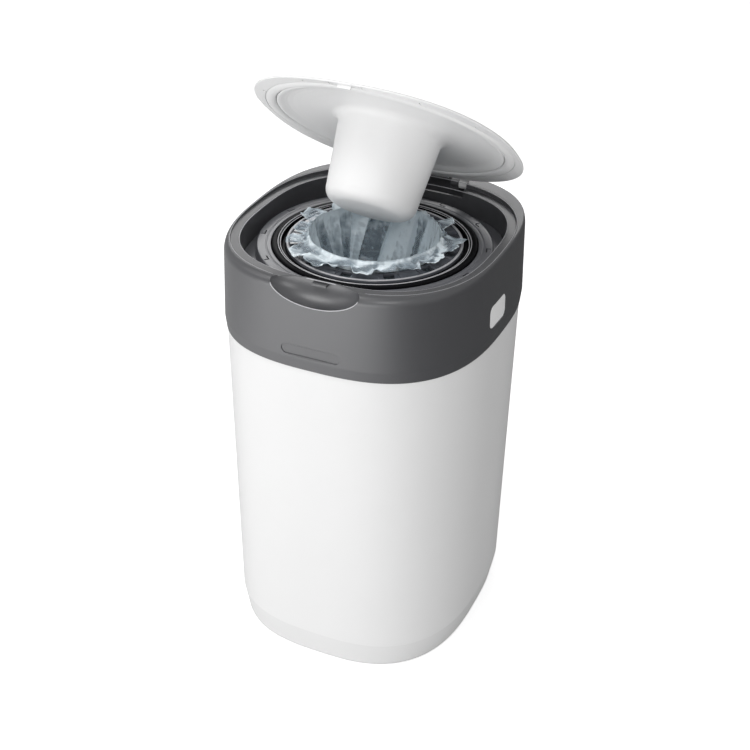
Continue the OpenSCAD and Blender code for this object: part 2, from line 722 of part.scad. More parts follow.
// Cup that pushes the nappy down
module plunger() color(white) ajar() {
    e = plunger_edge;
    w = plunger_wall;
    low = plunger_end + e;
    round_part() polygon(concat([[0, plunger_end]],
        [for (a = [0:15:90]) [plunger_r - e + e*sin(a), low - e*cos(a)]],
        [[root_r(), plunger_join], [root_r() - w, plunger_join]],
        [for (a = [90:-15:0]) [plunger_r - e + (e - w)*sin(a), low - (e - w)*cos(a)]],
        [[0, plunger_end + w]]));
}

// Dish round the plunger's root, with the sleeve that carries the dial
module plunger_dish() color(white) ajar() {
    f = plunger_fillet;
    w = plunger_wall;
    seat = plunger_seat;
    step_r0 = dish_r - 1 - dish_step;
    step_low = dish_z + 0.66*dish_rise;
    hub_top = ledge_z + dome_h - dial_drop - 0.1;
    round_part() polygon(concat(
        [for (a = [0:15:90]) [root_r() + f*(1 - cos(a)), plunger_join + f*sin(a)]],
        [[step_r0 - 17, seat - 0.3], [step_r0, step_low], [dish_r - 2, dish_z], [dish_r, dish_z],
        [dish_r, dish_z + dish_wall], [dish_r - 2.4, dish_z + dish_wall], [step_r0 - 0.5,
        step_low + dish_wall],
        [step_r0 - 17, seat - 0.3 + dish_wall], [hub_r + w + 6, seat + dish_wall],
        [hub_r + w, seat + dish_wall], [hub_r + w, hub_top], [hub_r, hub_top], [hub_r, seat + dish_wall]],
        [for (a = [90:-15:0]) [root_r() - w + f*(1 - cos(a)), plunger_join + dish_wall + f*sin(a)]],
        [[root_r() - w, plunger_join]]));
}

// Dial on top of the lid, with a grip bar across a shallow bowl
module twist_dial() color("#e9e9ea") ajar() {
    top = ledge_z + dome_h;
    low = top - dial_drop;
    spigot = hub_r - spigot_fit;
    round_part() polygon([[0, low], [spigot - 2, low], [spigot - 2, low - spigot_l], [spigot,
        low - spigot_l], [spigot, low],
        [dial_r, low], [dial_r, top - 0.2], [dial_r - 1.2, top + 1],
        [dial_r - 5, top + 1], [dial_r - 14, top - 0.9], [0, top - 1.3]]);
    translate([0, axis_y, top - 2.4]) linear_extrude(2.4 + bar_up) {
        square([2*dial_r - 24, bar_w], center = true);
        for (s = [-1, 1]) translate([s*(dial_r - 12), 0]) circle(d = bar_w);
    }
}

module dial_bearing() color(black) ajar() {
    z = ledge_z + dome_h - lip_drop;
    tube(dial_r - 1, hub_r + plunger_wall + dial_gap, z + 0.1, z + lip_drop - dial_drop - 0.1);
}

bucket_shell();
collar_hinge_pin();
collar_shell();
deck();
retainer_ring();
retainer_screws();
gripper_frame();
gripper_plate();
gripper_fingers();
cutter_body();
cutter_blade();
lid_hinge_pins();
release_button_left();
release_button_right();
turntable_ring();
cassette_tub();
cassette_core();
cassette_cap();
film_pack();
film_liner();
film_sleeve();
film_bag();
film_tail();
lid_shell();
lid_liner();
lid_latch();
plunger();
plunger_dish();
twist_dial();
dial_bearing();
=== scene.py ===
import math

import bmesh
import bpy
import numpy as np
from mathutils import Matrix, Vector


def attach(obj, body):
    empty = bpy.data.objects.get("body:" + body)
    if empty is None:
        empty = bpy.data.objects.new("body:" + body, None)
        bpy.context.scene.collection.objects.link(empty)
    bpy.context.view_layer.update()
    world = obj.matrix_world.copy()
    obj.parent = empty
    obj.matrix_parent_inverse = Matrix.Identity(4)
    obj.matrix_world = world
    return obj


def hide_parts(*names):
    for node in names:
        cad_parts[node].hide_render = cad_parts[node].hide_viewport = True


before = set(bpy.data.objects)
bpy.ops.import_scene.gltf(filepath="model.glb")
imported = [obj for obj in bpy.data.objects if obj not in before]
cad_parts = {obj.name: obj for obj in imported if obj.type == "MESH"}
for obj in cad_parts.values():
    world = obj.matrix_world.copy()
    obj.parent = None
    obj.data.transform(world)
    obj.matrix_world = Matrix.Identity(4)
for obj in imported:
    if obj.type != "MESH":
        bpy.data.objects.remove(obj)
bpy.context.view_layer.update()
mm = 0.001
axisY = -6.0  # the throat, the turntable and the lid's dial all stand on this line


# Helpers for meshes. A row is (width, depth, squareness, middle y, height, rise of its back), in mm

def finish(obj, body, stands, sharpAngle=40):
    for poly in obj.data.polygons:
        poly.use_smooth = True
    obj.data.set_sharp_from_angle(angle=math.radians(sharpAngle))
    if sharpAngle >= 40:  # large faces stay flat, so that creases stay crisp
        even = obj.modifiers.new("evenNormals", "WEIGHTED_NORMAL")
        even.keep_sharp = True
        even.weight = 70
        applyModifiers(obj)
    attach(obj, body)
    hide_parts(*stands)


def addObject(name, data):
    obj = bpy.data.objects.new(name, data)
    bpy.context.scene.collection.objects.link(obj)
    return obj


def meshObject(name, verts, faces, material=None):
    mesh = bpy.data.meshes.new(name)
    mesh.from_pydata([tuple(v) for v in verts], [], [tuple(f) for f in faces])
    mesh.validate()
    if material:
        mesh.materials.append(material)
    return addObject(name, mesh)


def fixNormals(obj):
    work = bmesh.new()
    work.from_mesh(obj.data)
    bmesh.ops.remove_doubles(work, verts=work.verts, dist=1e-6)
    bmesh.ops.recalc_face_normals(work, faces=work.faces)
    work.to_mesh(obj.data)
    work.free()
    return obj


def applyModifiers(obj):
    depsgraph = bpy.context.evaluated_depsgraph_get()
    made = bpy.data.meshes.new_from_object(obj.evaluated_get(depsgraph), depsgraph=depsgraph)
    obj.modifiers.clear()
    old = obj.data
    obj.data = made
    bpy.data.meshes.remove(old)
    return obj


def cut(obj, cutter, operation="DIFFERENCE"):
    mod = obj.modifiers.new("cut", "BOOLEAN")
    mod.operation = operation
    mod.solver = "EXACT"
    mod.object = cutter
    applyModifiers(obj)
    bpy.data.objects.remove(cutter)


def joinParts(name, parts):
    bpy.ops.object.select_all(action="DESELECT")
    for part in parts:
        part.select_set(True)
    bpy.context.view_layer.objects.active = parts[0]
    bpy.ops.object.join()
    parts[0].name = name
    return parts[0]


def ringFaces(count, rows, loop=False):  # the quads between rings of as many points
    faces = []
    for k in range(rows if loop else rows - 1):
        a, b = k * count, (k + 1) % rows * count
        faces += [(a + i, a + (i + 1) % count, b + (i + 1) % count, b + i) for i in range(count)]
    return faces


def endFaces(count, rows):
    return [tuple(range(count))[::-1], tuple(range((rows - 1) * count, rows * count))]


def softCorners(points, size, steps=3):  # rounds the corners of a path of rows
    points = [np.array(p, float) for p in points]
    out = [points[0]]
    for before, here, after in zip(points, points[1:], points[2:]):
        def part(other):
            step = other - here
            length = math.hypot(step[0] / 2, step[4]) or math.hypot(step[1] / 2, step[4])
            return here + step * min(size / max(length, 1e-9), 0.45)
        a, c = part(before), part(after)
        for k in range(steps + 1):
            t = k / steps
            out.append((1 - t) ** 2 * a + 2 * t * (1 - t) * here + t * t * c)
    out.append(points[-1])
    return out


def smoothRows(rows, per=4):  # a soft curve through the rows
    rows = [np.array(r, float) for r in rows]
    out = []
    for k in range(len(rows) - 1):
        p0, p1, p2, p3 = rows[max(k - 1, 0)], rows[k], rows[k + 1], rows[min(k + 2, len(rows) - 1)]
        for i in range(per):
            t = i / per
            out.append(0.5 * (2 * p1 + (p2 - p0) * t + (2 * p0 - 5 * p1 + 4 * p2 - p3) * t ** 2
                              + (3 * p1 - p0 - 3 * p2 + p3) * t ** 3))
    return out + [rows[-1]]


def between(a, b, count):
    a, b = np.array(a, float), np.array(b, float)
    return [tuple(a + (b - a) * k / count) for k in range(1, count)]


def squircle(w, d, n, cy, count):
    t = np.linspace(0, 2 * np.pi, 2881)
    c, s = np.cos(t), np.sin(t)
    x = w / 2 * np.sign(c) * np.abs(c) ** (2 / n)
    y = d / 2 * np.sign(s) * np.abs(s) ** (2 / n)
    run = np.concatenate([[0], np.cumsum(np.hypot(np.diff(x), np.diff(y)))])
    at = np.linspace(0, run[-1], count, endpoint=False)
    return np.interp(at, run, x), np.interp(at, run, y) + cy


def loft(name, rows, count, loop=False, material=None):  # skins the rows; loop joins the last to the first
    verts = []
    for w, d, n, cy, z, rise in rows:
        x, y = squircle(w, d, n, cy, count)
        verts.extend(np.stack([x, y, z + rise * (y - cy + d / 2) / d], 1) * mm)
    faces = ringFaces(count, len(rows), loop)
    if not loop:
        faces += endFaces(count, len(rows))
    return fixNormals(meshObject(name, verts, faces, material))


def roundPart(name, profile, size, steps, count, closed=True, material=None):
    # A turned piece with soft corners. The profile is (radius, height) in mm, and closed joins its ends
    rows = [(2 * r, 2 * r, 2, axisY, z, 0) for r, z in profile]
    if closed:
        middle = [(a + b) / 2 for a, b in zip(rows[0], rows[-1])]
        rows = softCorners([middle] + rows + [middle], size, steps)[:-1]
    else:
        rows = softCorners(rows, size, steps)
    angles = np.linspace(0, 2 * np.pi, count, endpoint=False)
    verts, faces, starts = [], [], []
    for w, _, _, y0, z, _ in rows:
        starts.append((len(verts), w < 1e-6))
        if w < 1e-6:
            verts.append((0, y0 * mm, z * mm))
        else:
            ring = [w / 2 * np.cos(angles), w / 2 * np.sin(angles) + y0, np.full(count, z)]
            verts.extend(np.stack(ring, 1) * mm)
    pairs = list(zip(starts, starts[1:])) + ([(starts[-1], starts[0])] if closed else [])
    for (a, aPole), (b, bPole) in pairs:
        if aPole and bPole:
            continue
        for i in range(count):
            j = (i + 1) % count
            if aPole:
                faces.append((a, b + j, b + i))
            elif bPole:
                faces.append((a + i, a + j, b))
            else:
                faces.append((a + i, a + j, b + j, b + i))
    return fixNormals(meshObject(name, verts, faces, material))


def soften(obj, width, segments=3, angle=35):
    mod = obj.modifiers.new("soften", "BEVEL")
    mod.width = width * mm
    mod.segments = segments
    mod.limit_method = "ANGLE"
    mod.angle_limit = math.radians(angle)
    mod.harden_normals = False
    return applyModifiers(obj)


def boxPart(name, x, y, z, bevel=0.0, material=None):  # x, y and z are (low, high) in mm
    corners = [(a * mm, b * mm, c * mm) for a in x for b in y for c in z]
    faces = [(0, 1, 3, 2), (4, 6, 7, 5), (0, 4, 5, 1), (2, 3, 7, 6), (0, 2, 6, 4), (1, 5, 7, 3)]
    obj = fixNormals(meshObject(name, corners, faces, material))
    return soften(obj, bevel) if bevel else obj


def prism(name, outline, place, depth, material=None):  # the outline is pushed along the place's own Z
    count = len(outline)
    verts = [place @ Vector((x, y, z)) * mm for z in (0, depth) for x, y in outline]
    return fixNormals(meshObject(name, verts, endFaces(count, 2) + ringFaces(count, 2), material))


def flaredCutter(name, outline, place, depth, flare):  # leaves a small chamfer on the edge that it cuts
    def grown(k):
        return [(x + math.copysign(k, x), y + math.copysign(k, y)) for x, y in outline]
    past = 3.0  # how far it stands out of the wall
    rings = [(grown(0), -depth), (grown(0), -flare), (grown(flare + past), past)]
    count = len(outline)
    verts = [place @ Vector((x, y, z)) * mm for ring, z in rings for x, y in ring]
    return fixNormals(meshObject(name, verts, endFaces(count, 3) + ringFaces(count, 3)))


def roundedRect(w, h, r, steps=8):
    out = []
    for k, (sx, sy) in enumerate(((1, 1), (-1, 1), (-1, -1), (1, -1))):
        for i in range(steps + 1):
            a = math.radians(90 * k + 90 * i / steps)
            out.append((sx * (w / 2 - r) + r * math.cos(a), sy * (h / 2 - r) + r * math.sin(a)))
    return out


def xRod(name, r, x, y, z, bore=0.0, material=None):  # a rod or tube along X, with soft ends
    x0, x1 = x
    count, soft = 48, 0.3
    rows = [(x0, r - soft), (x0 + soft, r), (x1 - soft, r), (x1, r - soft)]
    if bore:
        rows += [(x1, bore), (x0, bore)]
    angles = [2 * math.pi * i / count for i in range(count)]
    verts = [(px * mm, (y + pr * math.cos(a)) * mm, (z + pr * math.sin(a)) * mm)
             for px, pr in rows for a in angles]
    faces = ringFaces(count, len(rows), loop=bool(bore))
    if not bore:
        faces += endFaces(count, len(rows))
    return fixNormals(meshObject(name, verts, faces, material))


def ellipsoid(name, centre, half, across, around):
    verts, faces = [(centre[0] * mm, centre[1] * mm, (centre[2] - half[2]) * mm)], []
    for i in range(1, across):
        a = math.pi * i / across
        for j in range(around):
            b = 2 * math.pi * j / around
            unit = (math.sin(a) * math.cos(b), math.sin(a) * math.sin(b), -math.cos(a))
            verts.append(tuple(mm * (m + h * u) for m, h, u in zip(centre, half, unit)))
    verts.append((centre[0] * mm, centre[1] * mm, (centre[2] + half[2]) * mm))
    last = len(verts) - 1
    for j in range(around):
        k = (j + 1) % around
        faces.append((0, 1 + k, 1 + j))
        faces.append((last, last - around + j, last - around + k))
        for i in range(across - 2):
            a, b = 1 + i * around, 1 + (i + 1) * around
            faces.append((a + j, a + k, b + k, b + j))
    return fixNormals(meshObject(name, verts, faces))


# Helpers for node trees: an input is given as a value, an output socket, or a node for its first output

def wire(tree, node, inputs):
    for key, value in inputs.items():
        if isinstance(value, bpy.types.Node):
            value = value.outputs[0]
        if isinstance(value, bpy.types.NodeSocket):
            tree.links.new(value, node.inputs[key])
        else:
            node.inputs[key].default_value = value
    return node


def addNode(tree, kind, inputs=(), **settings):
    node = tree.nodes.new(kind)
    for key, value in settings.items():
        setattr(node, key, value)
    return wire(tree, node, dict(inputs))


def mathNode(tree, operation, *values):
    return addNode(tree, "ShaderNodeMath", enumerate(values), operation=operation)


def mapRange(tree, value, low, high, toLow=0.0, toHigh=1.0):
    return addNode(tree, "ShaderNodeMapRange", {"Value": value, "From Min": low, "From Max": high,
                                                "To Min": toLow, "To Max": toHigh})


def newGroup(kind, name, inputs, outputs):
    group = bpy.data.node_groups.new(name, kind)
    for label, (socket, value) in inputs.items():
        made = group.interface.new_socket(name=label, in_out="INPUT", socket_type="NodeSocket" + socket)
        if value is not None:
            made.default_value = value
    for label, socket in outputs.items():
        group.interface.new_socket(name=label, in_out="OUTPUT", socket_type="NodeSocket" + socket)
    return group, group.nodes.new("NodeGroupInput").outputs, group.nodes.new("NodeGroupOutput")


def newMaterial(name):
    mat = bpy.data.materials.new(name)
    mat.use_nodes = True
    return mat, mat.node_tree, mat.node_tree.nodes["Principled BSDF"]


# Camera, floor and light

cameraSize = {"azimuth": 23.92, "elevation": 31.48, "distance": 1326.66, "aside": -0.49, "aimHeight": 248.85,
              "roll": 0.88, "focalPixels": 1362.22, "framePixels": 750, "sensor": 36.0}
# Each light: its place, aim and size in metres, and its power in watts
lights = {
    "keyLight": ((-1.6, -0.9, 1.5), (0, 0, 0.35), (0.5, 0.5), 2),
    "topLight": ((-0.7, -0.7, 2.1), (0, -0.1, 0.4), (0.8, 0.8), 11),
    "backLight": ((-0.8, 1.7, 1.3), (0, 0, 0.4), (1.4, 0.5), 6),
    "frontLight": ((0.6, -1.6, 1.5), (0, 0, 0.4), (0.5, 0.5), 5.5),
    "rightLight": ((1.9, -0.7, 0.9), (0, 0, 0.25), (1.0, 1.6), 0.4),
    "lowLight": ((-0.38, -1.5, 0.08), (0, 0, 0.42), (2.0, 0.6), 15),
    "leftLight": ((-1.9, 0.1, 1.1), (0, 0, 0.3), (1.2, 1.4), 0.4),
}
# Metres. In reflections the floor has painted shade, darker toward the right, and a painted glowing spot
studioSize = {"glow": 0.5, "floor": 6, "floorZ": -0.0004, "paper": 0.93, "roughness": 0.9,
              "fade": (0.8, 0.6, 0), "mirroredShadeFrom": -0.7, "mirroredShadeTo": 0.3, "mirroredShadeLow": 0.12,
              "spot": (-0.4, -0.95, 0), "mirroredGlowNear": 0.35, "mirroredGlowFar": 0.95}


def makeCamera(c):
    az, el, roll = (math.radians(c[k]) for k in ("azimuth", "elevation", "roll"))
    back = Vector((math.sin(az) * math.cos(el), -math.cos(az) * math.cos(el), math.sin(el)))
    right = Vector((math.cos(az), math.sin(az), 0))
    up = back.cross(right)
    side = right * math.cos(roll) + up * math.sin(roll)
    top = up * math.cos(roll) - right * math.sin(roll)
    data = bpy.data.cameras.new("photoCamera")
    data.sensor_width = c["sensor"]
    data.lens = c["focalPixels"] / c["framePixels"] * c["sensor"]
    data.clip_start, data.clip_end = 0.05, 20
    obj = addObject("photoCamera", data)
    place = Vector((0, 0, c["aimHeight"])) + back * c["distance"] + right * c["aside"]
    turn = Matrix((side, top, back)).transposed()
    obj.matrix_world = Matrix.Translation(place * mm) @ turn.to_4x4()
    bpy.context.scene.camera = obj


def makeLight(name, place, aim, size, power):
    data = bpy.data.lights.new(name, "AREA")
    data.shape = "RECTANGLE"
    data.size, data.size_y = size
    data.energy = power
    obj = addObject(name, data)
    obj.location = place
    obj.rotation_euler = (Vector(aim) - Vector(place)).to_track_quat("-Z", "Y").to_euler()


def makeWorld(s):
    world = bpy.data.worlds.new("studioWorld")
    bpy.context.scene.world = world
    world.use_nodes = True
    tree = world.node_tree
    seen = addNode(tree, "ShaderNodeLightPath").outputs["Is Camera Ray"]
    strength = mathNode(tree, "MULTIPLY_ADD", seen, s["glow"], s["glow"])
    wire(tree, tree.nodes["Background"], {"Color": (1, 1, 1, 1), "Strength": strength})


def makeFloor(s):
    mat, tree, paper = newMaterial("floorPaper")
    spot = addNode(tree, "ShaderNodeNewGeometry").outputs["Position"]
    ray = addNode(tree, "ShaderNodeLightPath").outputs
    # painted shade: seen in reflections, the floor's colour darkens toward the right
    toward = addNode(tree, "ShaderNodeVectorMath", {0: spot, 1: s["fade"]}, operation="DOT_PRODUCT")
    shade = mapRange(tree, toward.outputs["Value"], s["mirroredShadeFrom"], s["mirroredShadeTo"], s["paper"], s["mirroredShadeLow"])
    mixed = {"Factor": ray["Is Glossy Ray"], "A": s["paper"], "B": shade}
    seen = addNode(tree, "ShaderNodeMix", mixed, data_type="FLOAT")
    wire(tree, paper, {"Base Color": seen.outputs["Result"], "Roughness": s["roughness"]})
    # a painted glowing spot, which only reflections see
    apart = addNode(tree, "ShaderNodeVectorMath", {0: spot, 1: s["spot"]}, operation="DISTANCE")
    near = mapRange(tree, apart.outputs["Value"], s["mirroredGlowNear"], s["mirroredGlowFar"], 1.0, 0.0)
    mirrored = mathNode(tree, "MULTIPLY", ray["Is Glossy Ray"], near)
    power = mathNode(tree, "MULTIPLY_ADD", ray["Is Camera Ray"], s["glow"], mirrored)
    glow = addNode(tree, "ShaderNodeEmission", {"Strength": power})
    both = addNode(tree, "ShaderNodeAddShader", {0: paper, 1: glow})
    wire(tree, tree.nodes["Material Output"], {"Surface": both})
    corners = [(x * s["floor"], y * s["floor"], s["floorZ"]) for x, y in ((-1, -1), (1, -1), (1, 1), (-1, 1))]
    meshObject("studioFloor", corners, [(0, 1, 2, 3)], mat)


makeCamera(cameraSize)
makeWorld(studioSize)
for lightName, settings in lights.items():
    makeLight(lightName, *settings)
makeFloor(studioSize)
bpy.context.scene.view_settings.view_transform = "Standard"
print("camera, floor and lights are set")


# Effects shared by the finishes

def makeMouldGrain():
    group, given, end = newGroup(
        "ShaderNodeTree", "mouldGrain",
        {"Vector": ("Vector", None), "Grain Size": ("Float", 2400.0), "Mottle Size": ("Float", 18.0),
         "Mottle Amount": ("Float", 0.05), "Roughness": ("Float", 0.4)},
        {"Height": "Float", "Roughness": "Float", "Tone": "Float"})
    place = given["Vector"]
    fine = addNode(group, "ShaderNodeTexNoise", {"Vector": place, "Scale": given["Grain Size"], "Detail": 2})
    wide = addNode(group, "ShaderNodeTexNoise", {"Vector": place, "Scale": given["Mottle Size"], "Detail": 3})
    drift = mathNode(group, "MULTIPLY", mathNode(group, "SUBTRACT", wide, 0.5), given["Mottle Amount"])
    rough = mathNode(group, "MULTIPLY_ADD", drift, 2.5, given["Roughness"])
    wire(group, end, {"Height": fine, "Roughness": rough, "Tone": mathNode(group, "ADD", drift, 1.0)})
    return group


def makeHandlingWear():  # faint rub marks: long thin streaks that only change the gloss
    group, given, end = newGroup("ShaderNodeTree", "handlingWear",
                                 {"Vector": ("Vector", None), "Amount": ("Float", 0.1)}, {"Mask": "Float"})
    stretch = addNode(group, "ShaderNodeMapping", {"Vector": given["Vector"], "Scale": (60, 60, 9),
                                                   "Rotation": (0.3, 0.5, 0.2)})
    marks = addNode(group, "ShaderNodeTexNoise", {"Vector": stretch, "Scale": 6, "Detail": 4})
    streaks = mapRange(group, marks, 0.62, 0.72)
    wire(group, end, {"Mask": mathNode(group, "MULTIPLY", streaks, given["Amount"])})
    return group


def makeFilmSheen():  # cloudy patches and stretch lines of thin film, as a mask and a height
    group, given, end = newGroup(
        "ShaderNodeTree", "filmSheen",
        {"Vector": ("Vector", None), "Cloud Size": ("Float", 60.0), "Line Size": ("Float", 700.0)},
        {"Cloud": "Float", "Height": "Float"})
    cloud = addNode(group, "ShaderNodeTexNoise", {"Vector": given["Vector"], "Scale": given["Cloud Size"],
                                                  "Detail": 5, "Distortion": 0.6})
    lines = addNode(group, "ShaderNodeTexVoronoi", {"Vector": given["Vector"], "Scale": given["Line Size"]},
                    feature="DISTANCE_TO_EDGE")
    wire(group, end, {"Cloud": cloud, "Height": lines})
    return group


mouldGrain = makeMouldGrain()
handlingWear = makeHandlingWear()
filmSheen = makeFilmSheen()

# Each moulded plastic: its colour and the values of finishWords
finishWords = ("colour", "roughness", "grainSize", "mottle", "wear", "bump", "specular", "coat")
finishes = {
    "bucketWhite": ((0.75, 0.75, 0.75), 0.42, 2600, 0.02, 0.06, 0.12, 0.4, 0),
    # darker than bucketWhite, with a matter finish: its darker colour is painted shade on the foot band
    "footMatteAndShade": ((0.715, 0.715, 0.715), 0.5, 2600, 0.03, 0.12, 0.12, 0.35, 0),
    "lidWhite": ((0.86, 0.86, 0.86), 0.33, 2600, 0.02, 0.05, 0.08, 0.45, 0),
    "collarGrey": ((0.060, 0.061, 0.066), 0.38, 2200, 0.05, 0.05, 0.25, 0.95, 0),
    # lighter than collarGrey: painted light on the deck's upward face
    "deckPaintedLightGrey": ((0.11, 0.112, 0.125), 0.3, 2200, 0.05, 0.05, 0.2, 1.0, 0),
    "ringBlack": ((0.005, 0.005, 0.006), 0.3, 2600, 0.03, 0.0, 0.05, 0.03, 0),
    "cassetteGrey": ((0.16, 0.165, 0.18), 0.35, 2400, 0.05, 0.08, 0.1, 0.5, 0),
    "plungerWhite": ((0.84, 0.84, 0.84), 0.42, 2400, 0.03, 0.06, 0.12, 0.35, 0),
    "capGrey": ((0.09, 0.095, 0.11), 0.16, 2400, 0.05, 0.1, 0.06, 0.6, 0.6),
    "coreDark": ((0.02, 0.023, 0.028), 0.5, 2400, 0.05, 0.05, 0.1, 0.3, 0),
    # a light grey for painted highlight lines on beads, ridges and the cap's bead
    "paintedHighlightGrey": ((0.5, 0.5, 0.52), 0.3, 2400, 0.03, 0.05, 0.03, 0.8, 0),
    "buttonWhite": ((0.86, 0.86, 0.86), 0.36, 2600, 0.02, 0.05, 0.08, 0.45, 0),
}
steelFinish = {"colour": (0.62, 0.62, 0.64), "grainSize": 3000, "roughness": 0.3, "bump": 0.1}
filmFinish = {"thin": (0.26, 0.35, 0.43), "thick": (0.85, 0.94, 0.99), "clearest": 0.25, "cloudiest": 0.985,
              "cloudFrom": 0.22, "cloudTo": 1.05, "cloudShare": 0.35, "roughness": 0.16, "specular": 1.0,
              "bump": 0.6, "bumpDepth": 0.0004}
grainDepth = 0.0001  # metres


def mouldedPlastic(name, f):  # fine spark grain, slight tone drift and rub marks
    mat, tree, skin = newMaterial(name)
    place = addNode(tree, "ShaderNodeTexCoord").outputs["Object"]
    grain = addNode(tree, "ShaderNodeGroup", {"Vector": place, "Grain Size": f["grainSize"],
                                              "Roughness": f["roughness"], "Mottle Amount": f["mottle"]},
                    node_tree=mouldGrain).outputs
    wear = addNode(tree, "ShaderNodeGroup", {"Vector": place, "Amount": f["wear"]}, node_tree=handlingWear)
    tint = addNode(tree, "ShaderNodeMix", {"Factor": 1.0, "A": (*f["colour"], 1), "B": grain["Tone"]},
                   data_type="RGBA", blend_type="MULTIPLY").outputs["Result"]
    bump = addNode(tree, "ShaderNodeBump", {"Strength": f["bump"], "Distance": grainDepth,
                                            "Height": grain["Height"]})
    rough = mathNode(tree, "ADD", grain["Roughness"], wear)
    wire(tree, skin, {"Base Color": tint, "Roughness": rough, "Normal": bump,
                      "Specular IOR Level": f["specular"], "Coat Weight": f["coat"]})
    return mat


def brushedSteel(f):
    mat, tree, skin = newMaterial("pinSteel")
    place = addNode(tree, "ShaderNodeTexCoord").outputs["Object"]
    grain = addNode(tree, "ShaderNodeGroup", {"Vector": place, "Grain Size": f["grainSize"],
                                              "Roughness": f["roughness"]}, node_tree=mouldGrain).outputs
    bump = addNode(tree, "ShaderNodeBump", {"Strength": f["bump"], "Distance": grainDepth,
                                            "Height": grain["Height"]})
    wire(tree, skin, {"Base Color": (*f["colour"], 1), "Metallic": 1, "Roughness": grain["Roughness"],
                      "Normal": bump})
    return mat


def clearFilm(f):  # cloudy where it lies in layers, almost clear where it is single; its layers also carry painted shade and light down the throat
    mat, tree, skin = newMaterial("filmClear")
    place = addNode(tree, "ShaderNodeTexCoord").outputs["Object"]
    sheen = addNode(tree, "ShaderNodeGroup", {"Vector": place}, node_tree=filmSheen).outputs
    layersAndShade = addNode(tree, "ShaderNodeAttribute", attribute_name="layersAndShade").outputs["Fac"]
    both = mathNode(tree, "MULTIPLY_ADD", sheen["Cloud"], f["cloudShare"], layersAndShade)
    dense = mapRange(tree, both, f["cloudFrom"], f["cloudTo"], f["clearest"], f["cloudiest"])
    tint = addNode(tree, "ShaderNodeMix", {"Factor": dense, "A": (*f["thin"], 1), "B": (*f["thick"], 1)},
                   data_type="RGBA").outputs["Result"]
    bump = addNode(tree, "ShaderNodeBump", {"Strength": f["bump"], "Distance": f["bumpDepth"],
                                            "Height": sheen["Height"]})
    wire(tree, skin, {"Base Color": tint, "Alpha": dense, "Normal": bump,
                      "Roughness": f["roughness"], "Specular IOR Level": f["specular"]})
    return mat


plastics = {name: mouldedPlastic(name, dict(zip(finishWords, row))) for name, row in finishes.items()}
pinSteel = brushedSteel(steelFinish)
filmClear = clearFilm(filmFinish)
print("finishes are made")


# Trim and patterns made with Geometry Nodes

def paintAndEnd(group, shape, material, end):
    real = addNode(group, "GeometryNodeRealizeInstances", {0: shape})
    painted = addNode(group, "GeometryNodeSetMaterial", {"Geometry": real, "Material": material})
    wire(group, end, {"Geometry": painted})


def edgeBead(name, points, radius, closed=False):  # a fine bead along an edge, in mm, in a light grey that paints a highlight line along it
    count = len(points)
    edges = [(i, (i + 1) % count) for i in range(count if closed else count - 1)]
    mesh = bpy.data.meshes.new(name)
    mesh.from_pydata([tuple(v * mm for v in p) for p in points], edges, [])
    obj = addObject(name, mesh)
    group, given, end = newGroup("GeometryNodeTree", name + "Nodes",
                                 {"Geometry": ("Geometry", None), "Radius": ("Float", radius * mm),
                                  "Material": ("Material", plastics["paintedHighlightGrey"])}, {"Geometry": "Geometry"})
    line = addNode(group, "GeometryNodeMeshToCurve", {"Mesh": given["Geometry"]})
    ring = addNode(group, "GeometryNodeCurvePrimitiveCircle", {"Resolution": 8, "Radius": given["Radius"]})
    tube = addNode(group, "GeometryNodeCurveToMesh",
                   {"Curve": line, "Profile Curve": ring, "Fill Caps": True})
    paintAndEnd(group, tube, given["Material"], end)
    obj.modifiers.new("bead", "NODES").node_group = group
    return fixNormals(applyModifiers(obj))


def ringPattern(name, part, count, radius, height, start=0.0):  # copies round the axis, each facing outward
    group, given, end = newGroup("GeometryNodeTree", name + "Nodes",
                                 {"Count": ("Int", count), "Radius": ("Float", radius * mm),
                                  "Height": ("Float", height * mm),
                                  "Start Angle": ("Float", math.radians(start)), "Part": ("Object", None),
                                  "Material": ("Material", None)}, {"Geometry": "Geometry"})
    share = mathNode(group, "DIVIDE", addNode(group, "GeometryNodeInputIndex"), given["Count"])
    angle = mathNode(group, "ADD", mathNode(group, "MULTIPLY", share, 2 * math.pi), given["Start Angle"])
    spin = addNode(group, "ShaderNodeCombineXYZ", {"Z": angle})
    out = addNode(group, "ShaderNodeCombineXYZ", {"X": given["Radius"], "Z": given["Height"]})
    swing = addNode(group, "ShaderNodeVectorRotate", {"Vector": out, "Angle": angle}, rotation_type="Z_AXIS")
    shift = addNode(group, "ShaderNodeVectorMath", {0: swing, 1: (0, axisY * mm, 0)})
    points = addNode(group, "GeometryNodePoints", {"Count": given["Count"], "Position": shift})
    shape = addNode(group, "GeometryNodeObjectInfo", {"Object": given["Part"]}).outputs["Geometry"]
    copies = addNode(group, "GeometryNodeInstanceOnPoints",
                     {"Points": points, "Instance": shape, "Rotation": spin})
    paintAndEnd(group, copies, given["Material"], end)
    holder = addObject(name, bpy.data.meshes.new(name))
    mod = holder.modifiers.new("pattern", "NODES")
    mod.node_group = group
    sockets = {item.name: item.identifier for item in group.interface.items_tree if item.in_out == "INPUT"}
    mod[sockets["Part"]] = part
    mod[sockets["Material"]] = part.data.materials[0] if part.data.materials else None
    applyModifiers(holder)
    bpy.data.objects.remove(part)
    return holder


def paintBand(obj, material, test):  # second material where test(radius, height), in mm, is true
    obj.data.materials.append(material)
    slot = len(obj.data.materials) - 1
    for face in obj.data.polygons:
        x, y, z = face.center
        if test(math.hypot(x, y - axisY * mm) / mm, z / mm):
            face.material_index = slot


# Bucket

